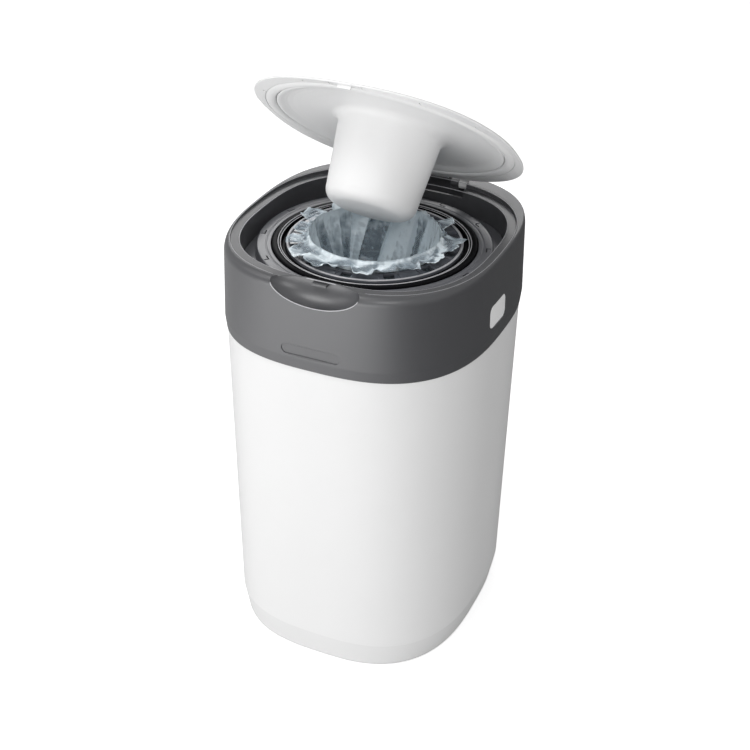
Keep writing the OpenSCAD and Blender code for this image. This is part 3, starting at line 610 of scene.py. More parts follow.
bucketSize = {"width": 250.4, "depth": 276.6, "squareness": 2.75, "shoulder": 329.0, "wall": 2.6,
              "floor": 3.0, "creaseIn": (8.6, 4.6), "footIn": (9.2, 5.2), "bevel": 27.0, "baseIn": 60.0,
              "toe": (2.0, 3.0), "neck": (243.6, 269.8), "neckHeight": 8.0, "neckRoot": 6.0, "soft": 0.5,
              "hingeY": 141.7, "knuckle": 4.2, "bore": 1.83, "collarKnuckle": 40.0, "bucketKnuckle": 18.0,
              "knuckleGap": 0.5, "web": 11.0}


def makeBucket(b):
    def row(size, z, inset=0.0):
        return (size[0] - inset, size[1] - inset, b["squareness"], 0, z, 0)
    white, top, t = plastics["bucketWhite"], b["shoulder"], 2 * b["wall"]
    full = (b["width"], b["depth"])
    crease = [size - less for size, less in zip(full, b["creaseIn"])]
    foot = [size - less for size, less in zip(crease, b["footIn"])]
    toe, toeHeight = b["toe"]
    neckTop = top + b["neckHeight"]
    rows = [row(foot, 0.0, b["baseIn"]), row(foot, 0.0, toe), row(foot, toeHeight), row(crease, b["bevel"]),
            row(full, top), row(b["neck"], top), row(b["neck"], neckTop), row(b["neck"], neckTop, t),
            row(b["neck"], top - b["neckRoot"], t), row(crease, b["bevel"], t), row(foot, b["floor"], t),
            row(foot, b["floor"], b["baseIn"])]
    body = loft("bucketBody", softCorners(rows, b["soft"], 3), 360, material=white)
    y, r = b["hingeY"], b["knuckle"]
    x = b["collarKnuckle"] / 2 + b["knuckleGap"]
    cut(body, xRod("room", r + b["knuckleGap"], (-x, x), y, top))
    # the band below the crease gets a matter finish, and a darker colour that is painted shade
    paintBand(body, plastics["footMatteAndShade"], lambda radius, z: z < b["bevel"] and radius > 90)
    parts = [body]
    for side in (-1, 1):
        low, high = sorted((side * x, side * (x + b["bucketKnuckle"])))
        parts.append(xRod("bucketKnuckle", r, (low, high), y, top, b["bore"], white))
        parts.append(boxPart("bucketWeb", (low + 0.2, high - 0.2), (y - 5, y - 2.2),
                             (top - b["web"], top - 0.5), 0.4, white))
    return joinParts("bucketBody", parts)


finish(makeBucket(bucketSize), "bucket", ["bucket_shell"])
print("bucket is made")


# Collar

collarSize = {"width": 252.0, "depth": 278.2, "squareness": 2.75, "seam": 329.3, "rim": 410.0,
              "bandHeight": 10.2, "bandIn": 1.0, "topIn": 1.6, "roundHeight": 8.0, "crestIn": (4.6, 10.4),
              "crestBack": 2.0, "rise": 3.0, "wall": 3.0, "ledge": (243.4, 247.8), "ledgeZ": 408.8,
              "ledgeN": 2.63, "lip": 1.6, "mouth": (227.0, 228.2), "mouthN": 2.74, "mouthWall": 2.5,
              "draft": 2.4, "floorZ": 386.8, "bead": 0.42, "crestBead": 0.3}
scoopSize = {"x": 2.0, "y": -136.6, "z": 410.6, "halfWidth": 42.5, "halfDepth": 17.2, "drop": 19.6,
             "wall": 1.6}
recessSize = {"width": 56.0, "height": 9.5, "z": 347.0, "y": -139.3, "depth": 0.9, "flare": 0.3}
buttonSize = {"width": 36.0, "height": 22.0, "corner": 6.0, "y": -17.5, "z": 358.5, "gap": 0.5,
              "flangeX": 119.6, "flange": 4.0, "flangeThick": 2.0, "window": 9.0, "flare": 0.35, "sunk": 0.15}
hingeSize = {"y": 124.3, "z": 407.8, "lugIn": 32.0, "lugWidth": 9.6, "lug": 4.5, "post": 8.0, "gap": 0.5,
             "pin": 2.0}
latchSize = {"width": 12.0, "gap": 0.8, "y": -125.4, "foot": 12.0, "slotX": 1.5, "slotBack": -117.0,
             "slot": (3.8, 1.8)}


def collarRows(c):  # the outside, from its bottom edge to the rim, and then over the rim to its crest
    n, z = c["squareness"], c["rim"] - c["roundHeight"]
    w0, d0 = c["width"] + 2 * c["bandIn"], c["depth"] + 2 * c["bandIn"]
    w1, d1 = w0 - 2 * c["topIn"], d0 - 2 * c["topIn"]
    rows = [(c["width"], c["depth"], n, 0, c["seam"], 0), (w0, d0, n, 0, c["seam"] + c["bandHeight"], 0),
            (w1, d1, n, 0, z, 0)]
    arc = []
    for a in range(0, 91, 6):
        s, f = math.sin(math.radians(a)), 1 - math.cos(math.radians(a))
        arc.append((w1 - c["crestIn"][0] * f, d1 - c["crestIn"][1] * f, n, c["crestBack"] * f,
                    z + c["roundHeight"] * s, c["rise"] * s))
    return rows, arc


def collarSection(c, z):  # (width, depth, middle y) of the outside at a height
    rows, arc = collarRows(c)
    path = rows + arc
    for low, high in zip(path, path[1:]):
        if z <= high[4]:
            break
    t = min((z - low[4]) / max(high[4] - low[4], 1e-9), 1)
    return [low[k] + (high[k] - low[k]) * t for k in (0, 1, 3)]


def collarSideX(c, y, z):
    n = c["squareness"]
    w, d, _ = collarSection(c, z)
    return w / 2 * (1 - abs(2 * y / d) ** n) ** (1 / n)


def collarFrontY(c, x, z):
    n = c["squareness"]
    w, d, cy = collarSection(c, z)
    return cy - d / 2 * (1 - abs(2 * x / w) ** n) ** (1 / n)


def scoopEdge(s, c):  # the line where the scoop leaves the collar's outside, found by halving
    points = []
    for k in range(97):
        x = s["x"] - 0.985 * s["halfWidth"] * math.cos(math.pi * k / 96)

        def inside(z):
            steps = (x - s["x"], collarFrontY(c, x, z) - s["y"], z - s["z"])
            halves = (s["halfWidth"], s["halfDepth"], s["drop"])
            return sum((step / half) ** 2 for step, half in zip(steps, halves)) < 1
        low, high = s["z"] - s["drop"], c["rim"] - 1.0
        if not inside(high):
            continue
        for _ in range(40):
            middle = (low + high) / 2
            low, high = (low, middle) if inside(middle) else (middle, high)
        points.append((x, collarFrontY(c, x, high) + 0.2, high))
    return points


def squircleLine(w, d, n, z, rise=0, count=320):
    x, y = squircle(w, d, n, axisY, count)
    return [(a, b, z + rise * (b - axisY + d / 2) / d) for a, b in zip(x, y)]


def sidePlace(side, x, y, z):  # axes on the bin's side: local X runs along Y, local Z points outward
    turn = Matrix(((0, 0, side), (side, 0, 0), (0, 1, 0))).to_4x4()
    return Matrix.Translation((side * x, y, z)) @ turn


def makeCollarShell(c):
    rows, arc = collarRows(c)
    n, z, floorZ = c["squareness"], c["ledgeZ"], c["floorZ"] - 4
    skin = softCorners(rows, 0.8, 3)[:-1]
    skin += between(skin[-1], rows[2], 34)
    skin += arc
    (lw, ld), (mw, md), lip, draft = c["ledge"], c["mouth"], c["lip"], c["draft"]
    inner = [arc[-1], (lw + lip, ld + lip, c["ledgeN"], axisY, c["rim"], c["rise"]),
             (lw, ld, c["ledgeN"], axisY, c["rim"] - 0.9, c["rise"]), (lw, ld, c["ledgeN"], axisY, z, 0),
             (mw, md, c["mouthN"], axisY, z, 0), (mw - draft, md - draft, c["mouthN"], axisY, floorZ, 0)]
    inner = [tuple(r) for r in softCorners(inner, 0.5, 3)]
    path = []
    for a, b in zip(inner, inner[1:]):
        far = max(abs(a[0] - b[0]) / 2, abs(a[4] - b[4]))
        path += [a] + between(a, b, max(1, round(far / 2.5)))
    path.append(inner[-1])
    t, m, under = 2 * c["wall"], 2 * c["mouthWall"], z - 3

    def behind(row, inset, height):
        return (row[0] - inset, row[1] - inset, n, 0, height, 0)
    hidden = [(mw + m - draft, md + m - draft, c["mouthN"], axisY, floorZ, 0),
              (mw + m, md + m, c["mouthN"], axisY, under, 0), behind(rows[2], t + 4, under),
              behind(rows[2], t, rows[2][4] - 3), behind(rows[1], t + 1, c["seam"] + 12),
              behind(rows[0], t, c["seam"] + 11), behind(rows[0], t, c["seam"])]
    return loft("collarBody", skin + path[1:] + hidden, 520, loop=True, material=plastics["collarGrey"])


def addScoopBacking(shell, c, s):  # the scoop's own wall inside the collar
    rows, _ = collarRows(c)
    n, z, wall = c["squareness"], c["ledgeZ"], s["wall"]
    half = (s["halfWidth"] + wall, s["halfDepth"] + wall, s["drop"] + wall)
    backing = ellipsoid("backing", (s["x"], s["y"], s["z"]), half, 48, 96)
    cut(backing, boxPart("keep", (-60, 60), (-150, -119.2), (380, z)), "INTERSECT")
    inside = [(rows[0][0] - 2, rows[0][1] - 2, n, 0, 340, 0),
              (rows[2][0] - 2, rows[2][1] - 2, n, 0, rows[2][4], 0),
              (rows[2][0] - 14, rows[2][1] - 14, n, 0, z, 0)]
    cut(backing, loft("inside", inside, 360), "INTERSECT")
    backing.data.materials.append(plastics["collarGrey"])
    cut(shell, backing, "UNION")


def collarCutters(c, s, recess, button, hinge, latch):
    z, gap, lug = c["ledgeZ"], button["gap"], hinge["lug"]
    cutters = [ellipsoid("scoop", (s["x"], s["y"], s["z"]),
                         (s["halfWidth"], s["halfDepth"], s["drop"]), 128, 256)]
    turn = Matrix(((1, 0, 0), (0, 0, -1), (0, 1, 0))).to_4x4()
    front = Matrix.Translation((0, recess["y"], recess["z"])) @ turn
    slot = roundedRect(recess["width"], recess["height"], recess["height"] / 2 - 0.01, 16)
    cutters.append(flaredCutter("recess", slot, front, recess["depth"], recess["flare"]))
    window = roundedRect(button["width"] + 2 * gap, button["height"] + 2 * gap, button["corner"] + gap, 10)
    x = collarSideX(c, button["y"], button["z"])
    for side in (-1, 1):
        place = sidePlace(side, x, button["y"], button["z"])
        cutters.append(flaredCutter("window", window, place, button["window"], button["flare"]))
    half = hinge["lugIn"] + hinge["lugWidth"] + hinge["gap"]
    wallY = axisY + c["mouth"][1] / 2 - c["mouthWall"] - 1
    cutters.append(boxPart("hingePocket", (-half, half), (wallY, hinge["y"] + lug + 2),
                           (hinge["z"] - lug - 1.5, 420)))
    half, middle = latch["width"] / 2 + latch["gap"], latch["slotX"]
    low, high = latch["slot"]
    place = ((middle - half, middle + half), (latch["y"] + 1, latch["slotBack"]), (z - low, z - high))
    cutters.append(boxPart("latchSlot", *place))
    cutters.append(xRod("knuckleRoom", 4.7, (-39.5, 39.5), bucketSize["hingeY"], bucketSize["shoulder"]))
    return joinParts("cutters", cutters)


def collarBeads(c, s):
    (lw, ld), (mw, md) = c["ledge"], c["mouth"]
    mouth = squircleLine(mw + 0.3, md + 0.3, c["mouthN"], c["ledgeZ"] - 0.4)
    crest = squircleLine(lw + c["lip"] - 0.6, ld + c["lip"] - 0.6, c["ledgeN"], c["rim"] - 0.35, c["rise"])

    def broken(p):  # where the scoop breaks the crest
        return p[1] < 0 and abs(p[0] - s["x"]) < s["halfWidth"]
    first = next(i for i in range(len(crest)) if broken(crest[i]) and not broken(crest[i - 1]))
    crest = [p for p in crest[first:] + crest[:first] if not broken(p)]
    # the beads paint highlight lines along the mouth's edge, the crest and the scoop's edge
    return [edgeBead("mouthBead", mouth, c["bead"], closed=True),
            edgeBead("crestBead", crest, c["crestBead"]),
            edgeBead("scoopBead", scoopEdge(s, c), c["bead"])]


def makeCollar(c, scoop, recess, button, hinge, latch):
    grey = plastics["collarGrey"]
    shell = makeCollarShell(c)
    addScoopBacking(shell, c, scoop)
    cut(shell, collarCutters(c, scoop, recess, button, hinge, latch))
    parts = [shell]
    post, y, z, lug = hinge["lugIn"] - hinge["gap"], hinge["y"], hinge["z"], hinge["lug"]
    for side in (-1, 1):
        x0, x1 = sorted((side * (post - hinge["post"]), side * post))
        parts.append(xRod("hingePost", lug, (x0, x1), y, z, hinge["pin"] + 0.03, grey))
        parts.append(boxPart("postFoot", (x0 + 0.05, x1 - 0.05), (y - lug, y + lug + 2.2),
                             (z - lug - 1.6, z - hinge["pin"] - 0.6), 0.4, grey))
    b = bucketSize
    half = b["collarKnuckle"] / 2
    parts.append(xRod("collarKnuckle", b["knuckle"], (-half, half), b["hingeY"], b["shoulder"], 1.87, grey))
    parts.append(boxPart("knuckleWeb", (-19.8, 19.8), (136.8, 140.2), (330.4, 340.3), 0.5, grey))
    return joinParts("collarBody", parts + collarBeads(c, scoop))


collar = makeCollar(collarSize, scoopSize, recessSize, buttonSize, hingeSize, latchSize)
finish(collar, "collar", ["collar_shell"])
print("collar is made")


# Release buttons

def makeButton(side, b, c):  # a cap that follows the collar's side, with a rounded edge and a flange behind
    outline = np.array(roundedRect(b["width"], b["height"], b["corner"], 10))
    # Each ring: its share of the outline, and how far it lies back
    rings = [(0.02 + 0.98 * (k / 10), 0.0) for k in range(10)]
    rings += [(0.985, 0.05), (0.994, 0.18), (1.0, 0.5), (1.0, 3.4)]
    verts = []
    for f, sink in rings:
        for u, v in outline * f:
            y, z = side * u + b["y"], v + b["z"]
            verts.append((side * (collarSideX(c, y, z) - b["sunk"] - sink) * mm, y * mm, z * mm))
    for u, v in outline * 0.999:
        verts.append((side * b["flangeX"] * mm, (side * u + b["y"]) * mm, (v + b["z"]) * mm))
    count, rows = len(outline), len(rings) + 1
    white = plastics["buttonWhite"]
    cap = fixNormals(meshObject("button", verts, ringFaces(count, rows) + endFaces(count, rows), white))
    shape = roundedRect(b["width"] + b["flange"], b["height"] + b["flange"], b["corner"] + b["flange"] / 2, 8)
    flange = prism("flange", shape, sidePlace(side, b["flangeX"], b["y"], b["z"]), b["flangeThick"], white)
    return joinParts("buttonLeft" if side < 0 else "buttonRight", [cap, flange])


finish(makeButton(-1, buttonSize, collarSize), "left_button", ["release_button_left"])
finish(makeButton(1, buttonSize, collarSize), "right_button", ["release_button_right"])
print("buttons are made")


# Deck with its platform and L-shaped slots

deckSize = {"platform": 108.5, "top": 395.8, "floor": 386.8, "thick": 2.0, "sleeve": 94.8, "sleeveWall": 2.4,
            "sleeveLength": 14.0, "groove": 0.35, "reach": 150, "gap": 0.3, "soft": 1.2,
            "slots": 12, "slotRadius": 102.25, "slot": 1.4, "slotArm": 4.0}


def makeDeck(d, c):
    t, top, low, inner, edge = d["thick"], d["top"], d["floor"], d["sleeve"], d["platform"]
    wall, sunk = inner + d["sleeveWall"], top - d["groove"]
    foot = top - t - d["sleeveLength"]
    profile = [(inner, top - 0.5), (inner + 0.5, top), (wall + 1.2, top), (wall + 1.6, sunk),
               (wall + 2.4, sunk), (wall + 2.8, top), (edge - 0.6, top), (edge + 0.2, low), (d["reach"], low),
               (d["reach"], low - t), (edge - t, low - t), (edge - t, top - t), (wall, top - t), (wall, foot),
               (inner, foot)]
    # its lighter grey is painted light on the deck's upward face
    plate = roundPart("deckPlate", profile, d["soft"], 4, 256, material=plastics["deckPaintedLightGrey"])
    gap = 2 * d["gap"] + c["draft"]
    shape = (c["mouth"][0] - gap, c["mouth"][1] - gap, c["mouthN"], axisY)
    cut(plate, loft("deckEdge", [(*shape, low - 30, 0), (*shape, 440, 0)], 360), "INTERSECT")
    w, arm = d["slot"], d["slotArm"]
    corner = [(-w / 2, -arm), (w / 2, -arm), (w / 2, arm - w), (arm, arm - w), (arm, arm), (-w / 2, arm)]
    tool = prism("slotTool", corner, Matrix.Translation((0, 0, -4)), 5)
    cut(plate, ringPattern("deckSlots", tool, d["slots"], d["slotRadius"], top, 180 / d["slots"]))
    return plate


finish(makeDeck(deckSize, collarSize), "collar", ["deck"])
print("deck is made")


# Turntable ring and cassette. Each profile is (radius, height) in mm

turntableSize = {"soft": 0.25, "ridgeZ": 396.2, "ridges": ((87.8, 88.75), (85.75, 86.6)),
                 "profile": [(94.2, 379.8), (94.2, 395.0), (93.6, 396.6), (92.2, 397.0), (89.6, 396.9),
                             (89.1, 396.3), (88.9, 396.4), (88.75, 397.1), (88.3, 397.3), (87.9, 397.1),
                             (87.75, 396.3), (87.0, 396.0), (86.6, 396.3), (86.1, 396.5), (85.8, 396.1),
                             (85.7, 393.0), (90.8, 391.5), (90.8, 382.0), (82.9, 382.0), (82.9, 379.8)]}
capSize = {"soft": 0.5, "windows": 12, "windowStart": 4, "ribs": 24, "ribStart": 11.5, "radius": 73.0,
           "top": 396.0, "ribZ": 396.2, "bead": (78.2, 396.9), "skirt": (81.4, 394.6),
           "profile": [(65.2, 394.6), (65.2, 396.4), (68.0, 396.4), (68.6, 396.0), (77.6, 396.0),
                       (78.4, 396.7), (79.2, 397.3), (80.4, 397.3), (81.3, 396.6), (81.7, 394.4),
                       (82.2, 393.4), (84.6, 393.0), (85.2, 392.4), (85.2, 390.5), (83.6, 390.5),
                       (83.6, 391.6), (81.0, 392.4), (68.0, 394.4)]}


def makeTurntable(t):
    ring = roundPart("turntableRing", t["profile"], t["soft"], 3, 360, material=plastics["ringBlack"])
    # painted highlight lines: the ring's ridge tops are coloured light grey
    paintBand(ring, plastics["paintedHighlightGrey"],
              lambda r, z: z > t["ridgeZ"] and any(a < r < b for a, b in t["ridges"]))
    return ring


def makeCap(c):
    ring = roundPart("cassetteCap", c["profile"], c["soft"], 4, 288, material=plastics["capGrey"])
    window = boxPart("capWindow", (-4.7, 4.4), (-4.8, 4.8), (-3, 1.4))
    cut(ring, ringPattern("capWindows", window, c["windows"], c["radius"], c["top"], c["windowStart"]))
    # painted highlight: the top of the cap's bead is coloured light grey
    paintBand(ring, plastics["paintedHighlightGrey"], lambda r, z: r > c["bead"][0] and z > c["bead"][1])
    paintBand(ring, plastics["ringBlack"], lambda r, z: r > c["skirt"][0] and z <= c["skirt"][1])
    rib = boxPart("capRib", (-4.9, 4.6), (-0.55, 0.55), (-0.6, 0.5), 0.3, plastics["capGrey"])
    ribs = ringPattern("capRibs", rib, c["ribs"], c["radius"], c["ribZ"], c["ribStart"])
    return joinParts("cassetteCap", [ring, ribs])


finish(makeTurntable(turntableSize), "turntable", ["turntable_ring"])
finish(makeCap(capSize), "turntable", ["cassette_cap"])
print("turntable and cassette are made")


# Lid, drawn closed and then turned to where it stands

lidSize = {"width": 241.2, "depth": 245.6, "squareness": 2.38, "under": 409.2, "edge": 1.8, "top": 423.2,
           "wall": 2.4, "band": 2.0, "liner": 115.0, "linerMiddle": 110.4, "linerIn": 105.8, "linerGap": 0.3,
           "dialHole": 62.6, "hubHole": 56.8, "hubStep": 2.4, "lipDrop": 4.6, "lip": 1.6, "open": 38.4,
           "notches": ((-41.0, -117.0, 1.5), (61.0, -108.0, 1.5), (99.0, -69.0, 1.2), (-99.0, -69.0, 1.2)),
           "latchMarks": (-14.6, 14.6), "latchDots": (-7.5, -2.5, 2.5)}
lidCurve = [(0.985, 0.066), (0.93, 0.23), (0.86, 0.43), (0.76, 0.71), (0.68, 0.9), (0.6, 1.0)]
dishSize = {"radius": 105.2, "z": 409.9, "rise": 4.7, "wall": 1.8, "end": 336.0, "endRadius": 42.2,
            "endEdge": 13.0, "taper": 6.6, "ledgeZ": 408.8, "fillet": 9.0, "hub": 54.0, "hubWall": 2.2,
            "hubTop": 420.1, "cupWall": 2.2}
dialSize = {"radius": 62.0, "floor": 3.0, "hub": (52.0, 53.95), "hubDrop": 6.2, "bar": (113, 13, 6.49),
            "barDrop": 2.2, "barThick": 5.2, "ribs": 60}


def ajar(obj, hinge, lid):
    place = Matrix.Translation((0, hinge["y"] * mm, hinge["z"] * mm))
    obj.data.transform(place @ Matrix.Rotation(math.radians(-lid["open"]), 4, "X") @ place.inverted())
    return obj


def lidMarkCutters(s, hinge, latch):  # the latch's seat, small marks and the room for the hinge posts
    z, y = s["under"], latch["y"]

    def mark(name, x, half, front, back, deep):
        return boxPart(name, (x - half, x + half), (front, back), (z - 1, z + deep))
    cutters = [mark("latchSeat", 0, latch["foot"] + 0.3, y - 1.8, y + 3.5, 1.3)]
    cutters += [mark("notch", x, wide / 2, front - 3.4, front + 1, 1.4) for x, front, wide in s["notches"]]
    cutters += [mark("latchMark", x, 0.7, y - 1.2, y + 3.4, 1.5) for x in s["latchMarks"]]
    cutters += [mark("latchDot", x, 0.6, y + 4.4, y + 5.6, 1.0) for x in s["latchDots"]]
    cutters.append(mark("latchLine", 0, 11, y + 7.3, y + 7.8, 0.8))
    inner = hinge["lugIn"] - hinge["gap"] - hinge["post"] - 1
    for side in (-1, 1):
        a, b = sorted((side * inner, side * hinge["lugIn"]))
        cutters.append(boxPart("postRoom", (a, b), (hinge["y"] - hinge["lug"] - 7, hinge["y"] + 9),
                               (z - 2, z + 1.5)))
    return joinParts("lidCutters", cutters)


def makeLidShell(s, hinge, latch):
    white = plastics["lidWhite"]
    z0, top, n, wall = s["under"], s["top"], s["squareness"], s["wall"]
    brim = z0 + s["edge"]
    rise = top - brim

    def at(f, z, inset=0.0):
        return ((s["width"] - 2 * inset) * f, (s["depth"] - 2 * inset) * f, n, axisY, z, 0)

    def circle(r, z):
        return (2 * r, 2 * r, 2, axisY, z, 0)
    side = softCorners([at(0.975, z0), at(1, z0), at(1, brim), at(0.985, brim + 0.066 * rise)], 0.7, 4)
    dome = smoothRows([at(f, brim + k * rise) for f, k in lidCurve], 5)
    step, under, wide = top - s["lipDrop"], top - s["lipDrop"] - s["lip"], s["dialHole"] + s["hubStep"]
    hole = softCorners([at(0.57, top), circle(s["dialHole"], top), circle(s["dialHole"], step),
                        circle(s["hubHole"], step), circle(s["hubHole"], under), circle(wide, under),
                        circle(wide, top - wall)], 0.5, 3)
    roof = smoothRows([at(f, brim + k * rise - wall, wall) for f, k in lidCurve[:0:-1]], 4)
    r = s["liner"] + s["linerGap"]
    band = softCorners([at(0.95, z0 + s["band"], wall), circle(r, z0 + s["band"]), circle(r, z0),
                        at(0.975, z0)], 0.35, 3)
    path = list(side[:-1]) + list(dome) + list(hole) + list(roof[:-3]) + list(band[:-1])
    shell = loft("lidShell", path, 400, loop=True, material=white)
    cut(shell, lidMarkCutters(s, hinge, latch))
    parts = [shell]
    y, z, lug = hinge["y"], hinge["z"], hinge["lug"]
    for side in (-1, 1):
        a, b = sorted((side * hinge["lugIn"], side * (hinge["lugIn"] + hinge["lugWidth"])))
        parts.append(xRod("lidLug", lug, (a, b), y, z, hinge["pin"] + 0.07, white))
        reach = (axisY + s["depth"] / 2 - 4.5, y)
        parts.append(boxPart("lidArm", (a + 0.05, b - 0.05), reach, (z + 2.2, z + lug), 0.4, white))
    return ajar(joinParts("lidShell", parts), hinge, s)


def makeLiner(s, hinge):
    white = plastics["lidWhite"]
    z, edge, mid, inner = s["under"], s["liner"], s["linerMiddle"], s["linerIn"]
    profile = [(edge, z + 0.4), (edge - 0.9, z - 0.05), (mid + 2.2, z - 0.6), (mid, z - 1.0),
               (mid - 2.6, z - 0.7), (inner + 0.4, z + 0.4), (inner, z + 1.4), (inner, z + 2.4),
               (inner + 1.6, z + 2.4), (mid - 2, z + 1.1), (mid + 2, z + 1.1), (edge, z + 1.5)]
    ring = roundPart("lidLiner", profile, 1.4, 5, 288, material=white)
    tab = boxPart("snapTab", (-2.6, 1.9), (-6.5, 6.5), (-0.3, 0.9), 0.12, white)
    tabs = ringPattern("snapTabs", tab, 2, 112.6, z + 0.2, 2)
    return ajar(joinParts("lidLiner", [ring, tabs]), hinge, s)


def makePlunger(d, s, hinge):  # cup and dish in one moulding, with a small gate mark in the middle of its end
    f, e, w, t, end, z, wide = (d[k] for k in ("fillet", "endEdge", "cupWall", "wall", "end", "z", "radius"))
    seat = z + d["rise"]
    root = d["endRadius"] + d["taper"] * (seat - f - end - e) / (d["ledgeZ"] - end)
    step, low, hub = wide - 8, z + 0.66 * d["rise"], d["hub"]
    angles = [math.radians(a) for a in range(0, 91, 6)]
    out = [(0.0, end - 0.25), (0.7, end - 0.25), (1.0, end + 0.15), (2.2, end + 0.2), (3.0, end)]
    out += [(d["endRadius"] - e + e * math.sin(a), end + e - e * math.cos(a)) for a in angles]
    out += [(root + f * (1 - math.cos(a)), seat - f + f * math.sin(a)) for a in angles]
    dish = [(74.0, seat - 0.05), (84.0, seat - 0.45), (91.0, seat - 1.0), (step - 1.5, low - 0.15),
            (step + 1.2, low - 1.1), (wide - 3.6, z + 0.5), (wide - 1.8, z), (wide - 0.4, z + 0.05),
            (wide, z + 0.5)]
    rim = [(wide, z + t), (wide - 2.4, z + t), (step - 0.5, low + t), (88.0, seat - 0.5 + t), (70, seat + t),
           (hub + d["hubWall"], seat + t), (hub + d["hubWall"], d["hubTop"]), (hub, d["hubTop"]),
           (hub, seat + t)]
    inner = [(root - w + f * (1 - math.cos(a)), seat - f + t + f * math.sin(a)) for a in angles[::-1]]
    inner += [(d["endRadius"] - e + (e - w) * math.sin(a), end + e - (e - w) * math.cos(a))
              for a in angles[::-1]]
    profile = out + dish + rim + inner + [(0.0, end + w)]
    cup = roundPart("plungerCup", profile, 0.5, 2, 256, closed=False, material=plastics["plungerWhite"])
    return ajar(cup, hinge, s)


def makeDial(d, s, hinge):
    white = plastics["lidWhite"]
    top, r, (a, b) = s["top"], d["radius"], d["hub"]
    floor, foot = top - d["floor"], top - d["hubDrop"]
    profile = [(0, floor), (a, floor), (a, foot), (b, foot), (b, floor), (r, floor), (r, top + 0.1),
               (r - 1.0, top + 1.0), (r - 5, top + 1.0), (r - 9, top + 0.2), (r - 20, top - 0.9),
               (0, top - 1.3)]
    bowl = roundPart("dialBowl", profile, 1.2, 4, 224, closed=False, material=white)
    place = Matrix.Translation((0, axisY, top - d["barDrop"]))
    bar = soften(prism("dialBar", roundedRect(*d["bar"], 12), place, d["barThick"], white), 1.2, 4)
    rib = boxPart("gripRib", (-1.1, 0.35), (-0.6, 0.6), (-1.0, 0.9), 0.25, white)
    ribs = ringPattern("gripRibs", rib, d["ribs"], r - 0.9, top + 0.3)
    return ajar(joinParts("dialBowl", [bowl, bar, ribs]), hinge, s)


finish(makeLidShell(lidSize, hingeSize, latchSize), "lid", ["lid_shell"])
finish(makeLiner(lidSize, hingeSize), "lid", ["lid_liner"])
finish(makePlunger(dishSize, lidSize, hingeSize), "dial", ["plunger", "plunger_dish"])
finish(makeDial(dialSize, lidSize, hingeSize), "dial", ["twist_dial"])
print("lid is made")


# Film: a pleated sleeve down the throat, a puckered lip, and torn flaps over the cassette

filmSize = {"seed": 11, "around": 448, "flapRows": 40, "throatRows": 62, "capZ": 397.0, "lipR": 59.2,
            "lipZ": 405.6, "reach": (3.5, 24.0), "flapNear": 57.5, "throatWide": 61.2, "highest": 408.6,
            "thickness": 0.12}
tailSize = {"around": 160, "rows": 34, "radius": 7.2, "top": 305.5, "length": 31.0}
# Down the throat: (height, radius) of its innermost surface
throatCurve = [(399.5, 58.4), (395.6, 57.8), (385.0, 54.9), (370.0, 51.6), (357.0, 48.9), (338.0, 45.3),
               (330.5, 38.4), (324.0, 32.4), (317.0, 21.3), (311.0, 11.6), (305.0, 7.2)]
# Each pleat: its start and its lean by the bottom (turns), how deep it folds, and how cloudy it is
pleats = [(0.005, -0.02, 0.8, 0.75), (0.055, -0.01, 0.5, 0.3), (0.1, 0.02, 0.9, 0.8), (0.16, 0.03, 0.7, 0.25),
          (0.2, 0.015, 1.0, 0.9), (0.262, 0.05, 0.8, 0.2), (0.318, 0.06, 1.0, 0.75), (0.372, 0.03, 0.6, 0.35),
          (0.41, 0.0, 0.9, 0.6), (0.462, -0.02, 0.7, 0.25), (0.5, -0.015, 1.0, 0.85), (0.555, 0.0, 0.6, 0.3),
          (0.6, 0.02, 0.9, 0.7), (0.66, 0.03, 0.6, 0.2), (0.71, 0.0, 0.9, 0.8), (0.76, -0.02, 0.7, 0.35),
          (0.82, -0.03, 1.0, 0.85), (0.875, -0.03, 0.6, 0.25), (0.92, -0.01, 0.9, 0.8),
          (0.965, 0.0, 0.6, 0.4)]
# Each flap: middle (turns), half width (turns), reach past the lip (mm), lift of its tip (mm)
flaps = [(0.462, 0.035, 21, 2.0), (0.525, 0.04, 15, 1.0), (0.585, 0.03, 20, 0.5), (0.64, 0.045, 22, 1.0),
         (0.69, 0.05, 20, 1.5), (0.728, 0.03, 15, 2.5), (0.792, 0.035, 17, 1.0), (0.842, 0.03, 12, 1.5),
         (0.886, 0.035, 18, 4.0), (0.95, 0.045, 14, 1.0), (0.012, 0.03, 17, 1.0), (0.045, 0.025, 22, 3.0),
         (0.135, 0.03, 20, 1.0), (0.2, 0.04, 9, 1.0), (0.3, 0.06, 10, 1.0), (0.39, 0.04, 15, 3.0)]


def away(angle, turns):  # signed distance round the circle, in turns
    return (angle / (2 * np.pi) - turns + 0.5) % 1 - 0.5


def foldField(points, rng, count, size, sharp=0.5):  # flat facets that meet in straight creases
    total = np.zeros(len(points))
    for _ in range(count):
        d = rng.normal(size=3)
        d /= np.linalg.norm(d)
        run = points @ d / size + rng.uniform(0, 10)
        run = run + 0.35 * np.sin(points @ rng.normal(size=3) / size * 0.6)
        wave = np.abs(2 * (run % 1) - 1)
        total += np.maximum(wave - sharp, 0) / (1 - sharp)
    return total / math.sqrt(count)


def periodic(angle, rng, low, high, fade=1.0):  # a smooth random curve that closes after one turn
    out = np.zeros_like(angle)
    for k in range(low, high + 1):
        out += rng.normal() * np.sin(k * angle + rng.uniform(0, 6.283)) / k ** fade
    return out / max(np.abs(out).max(), 1e-9)


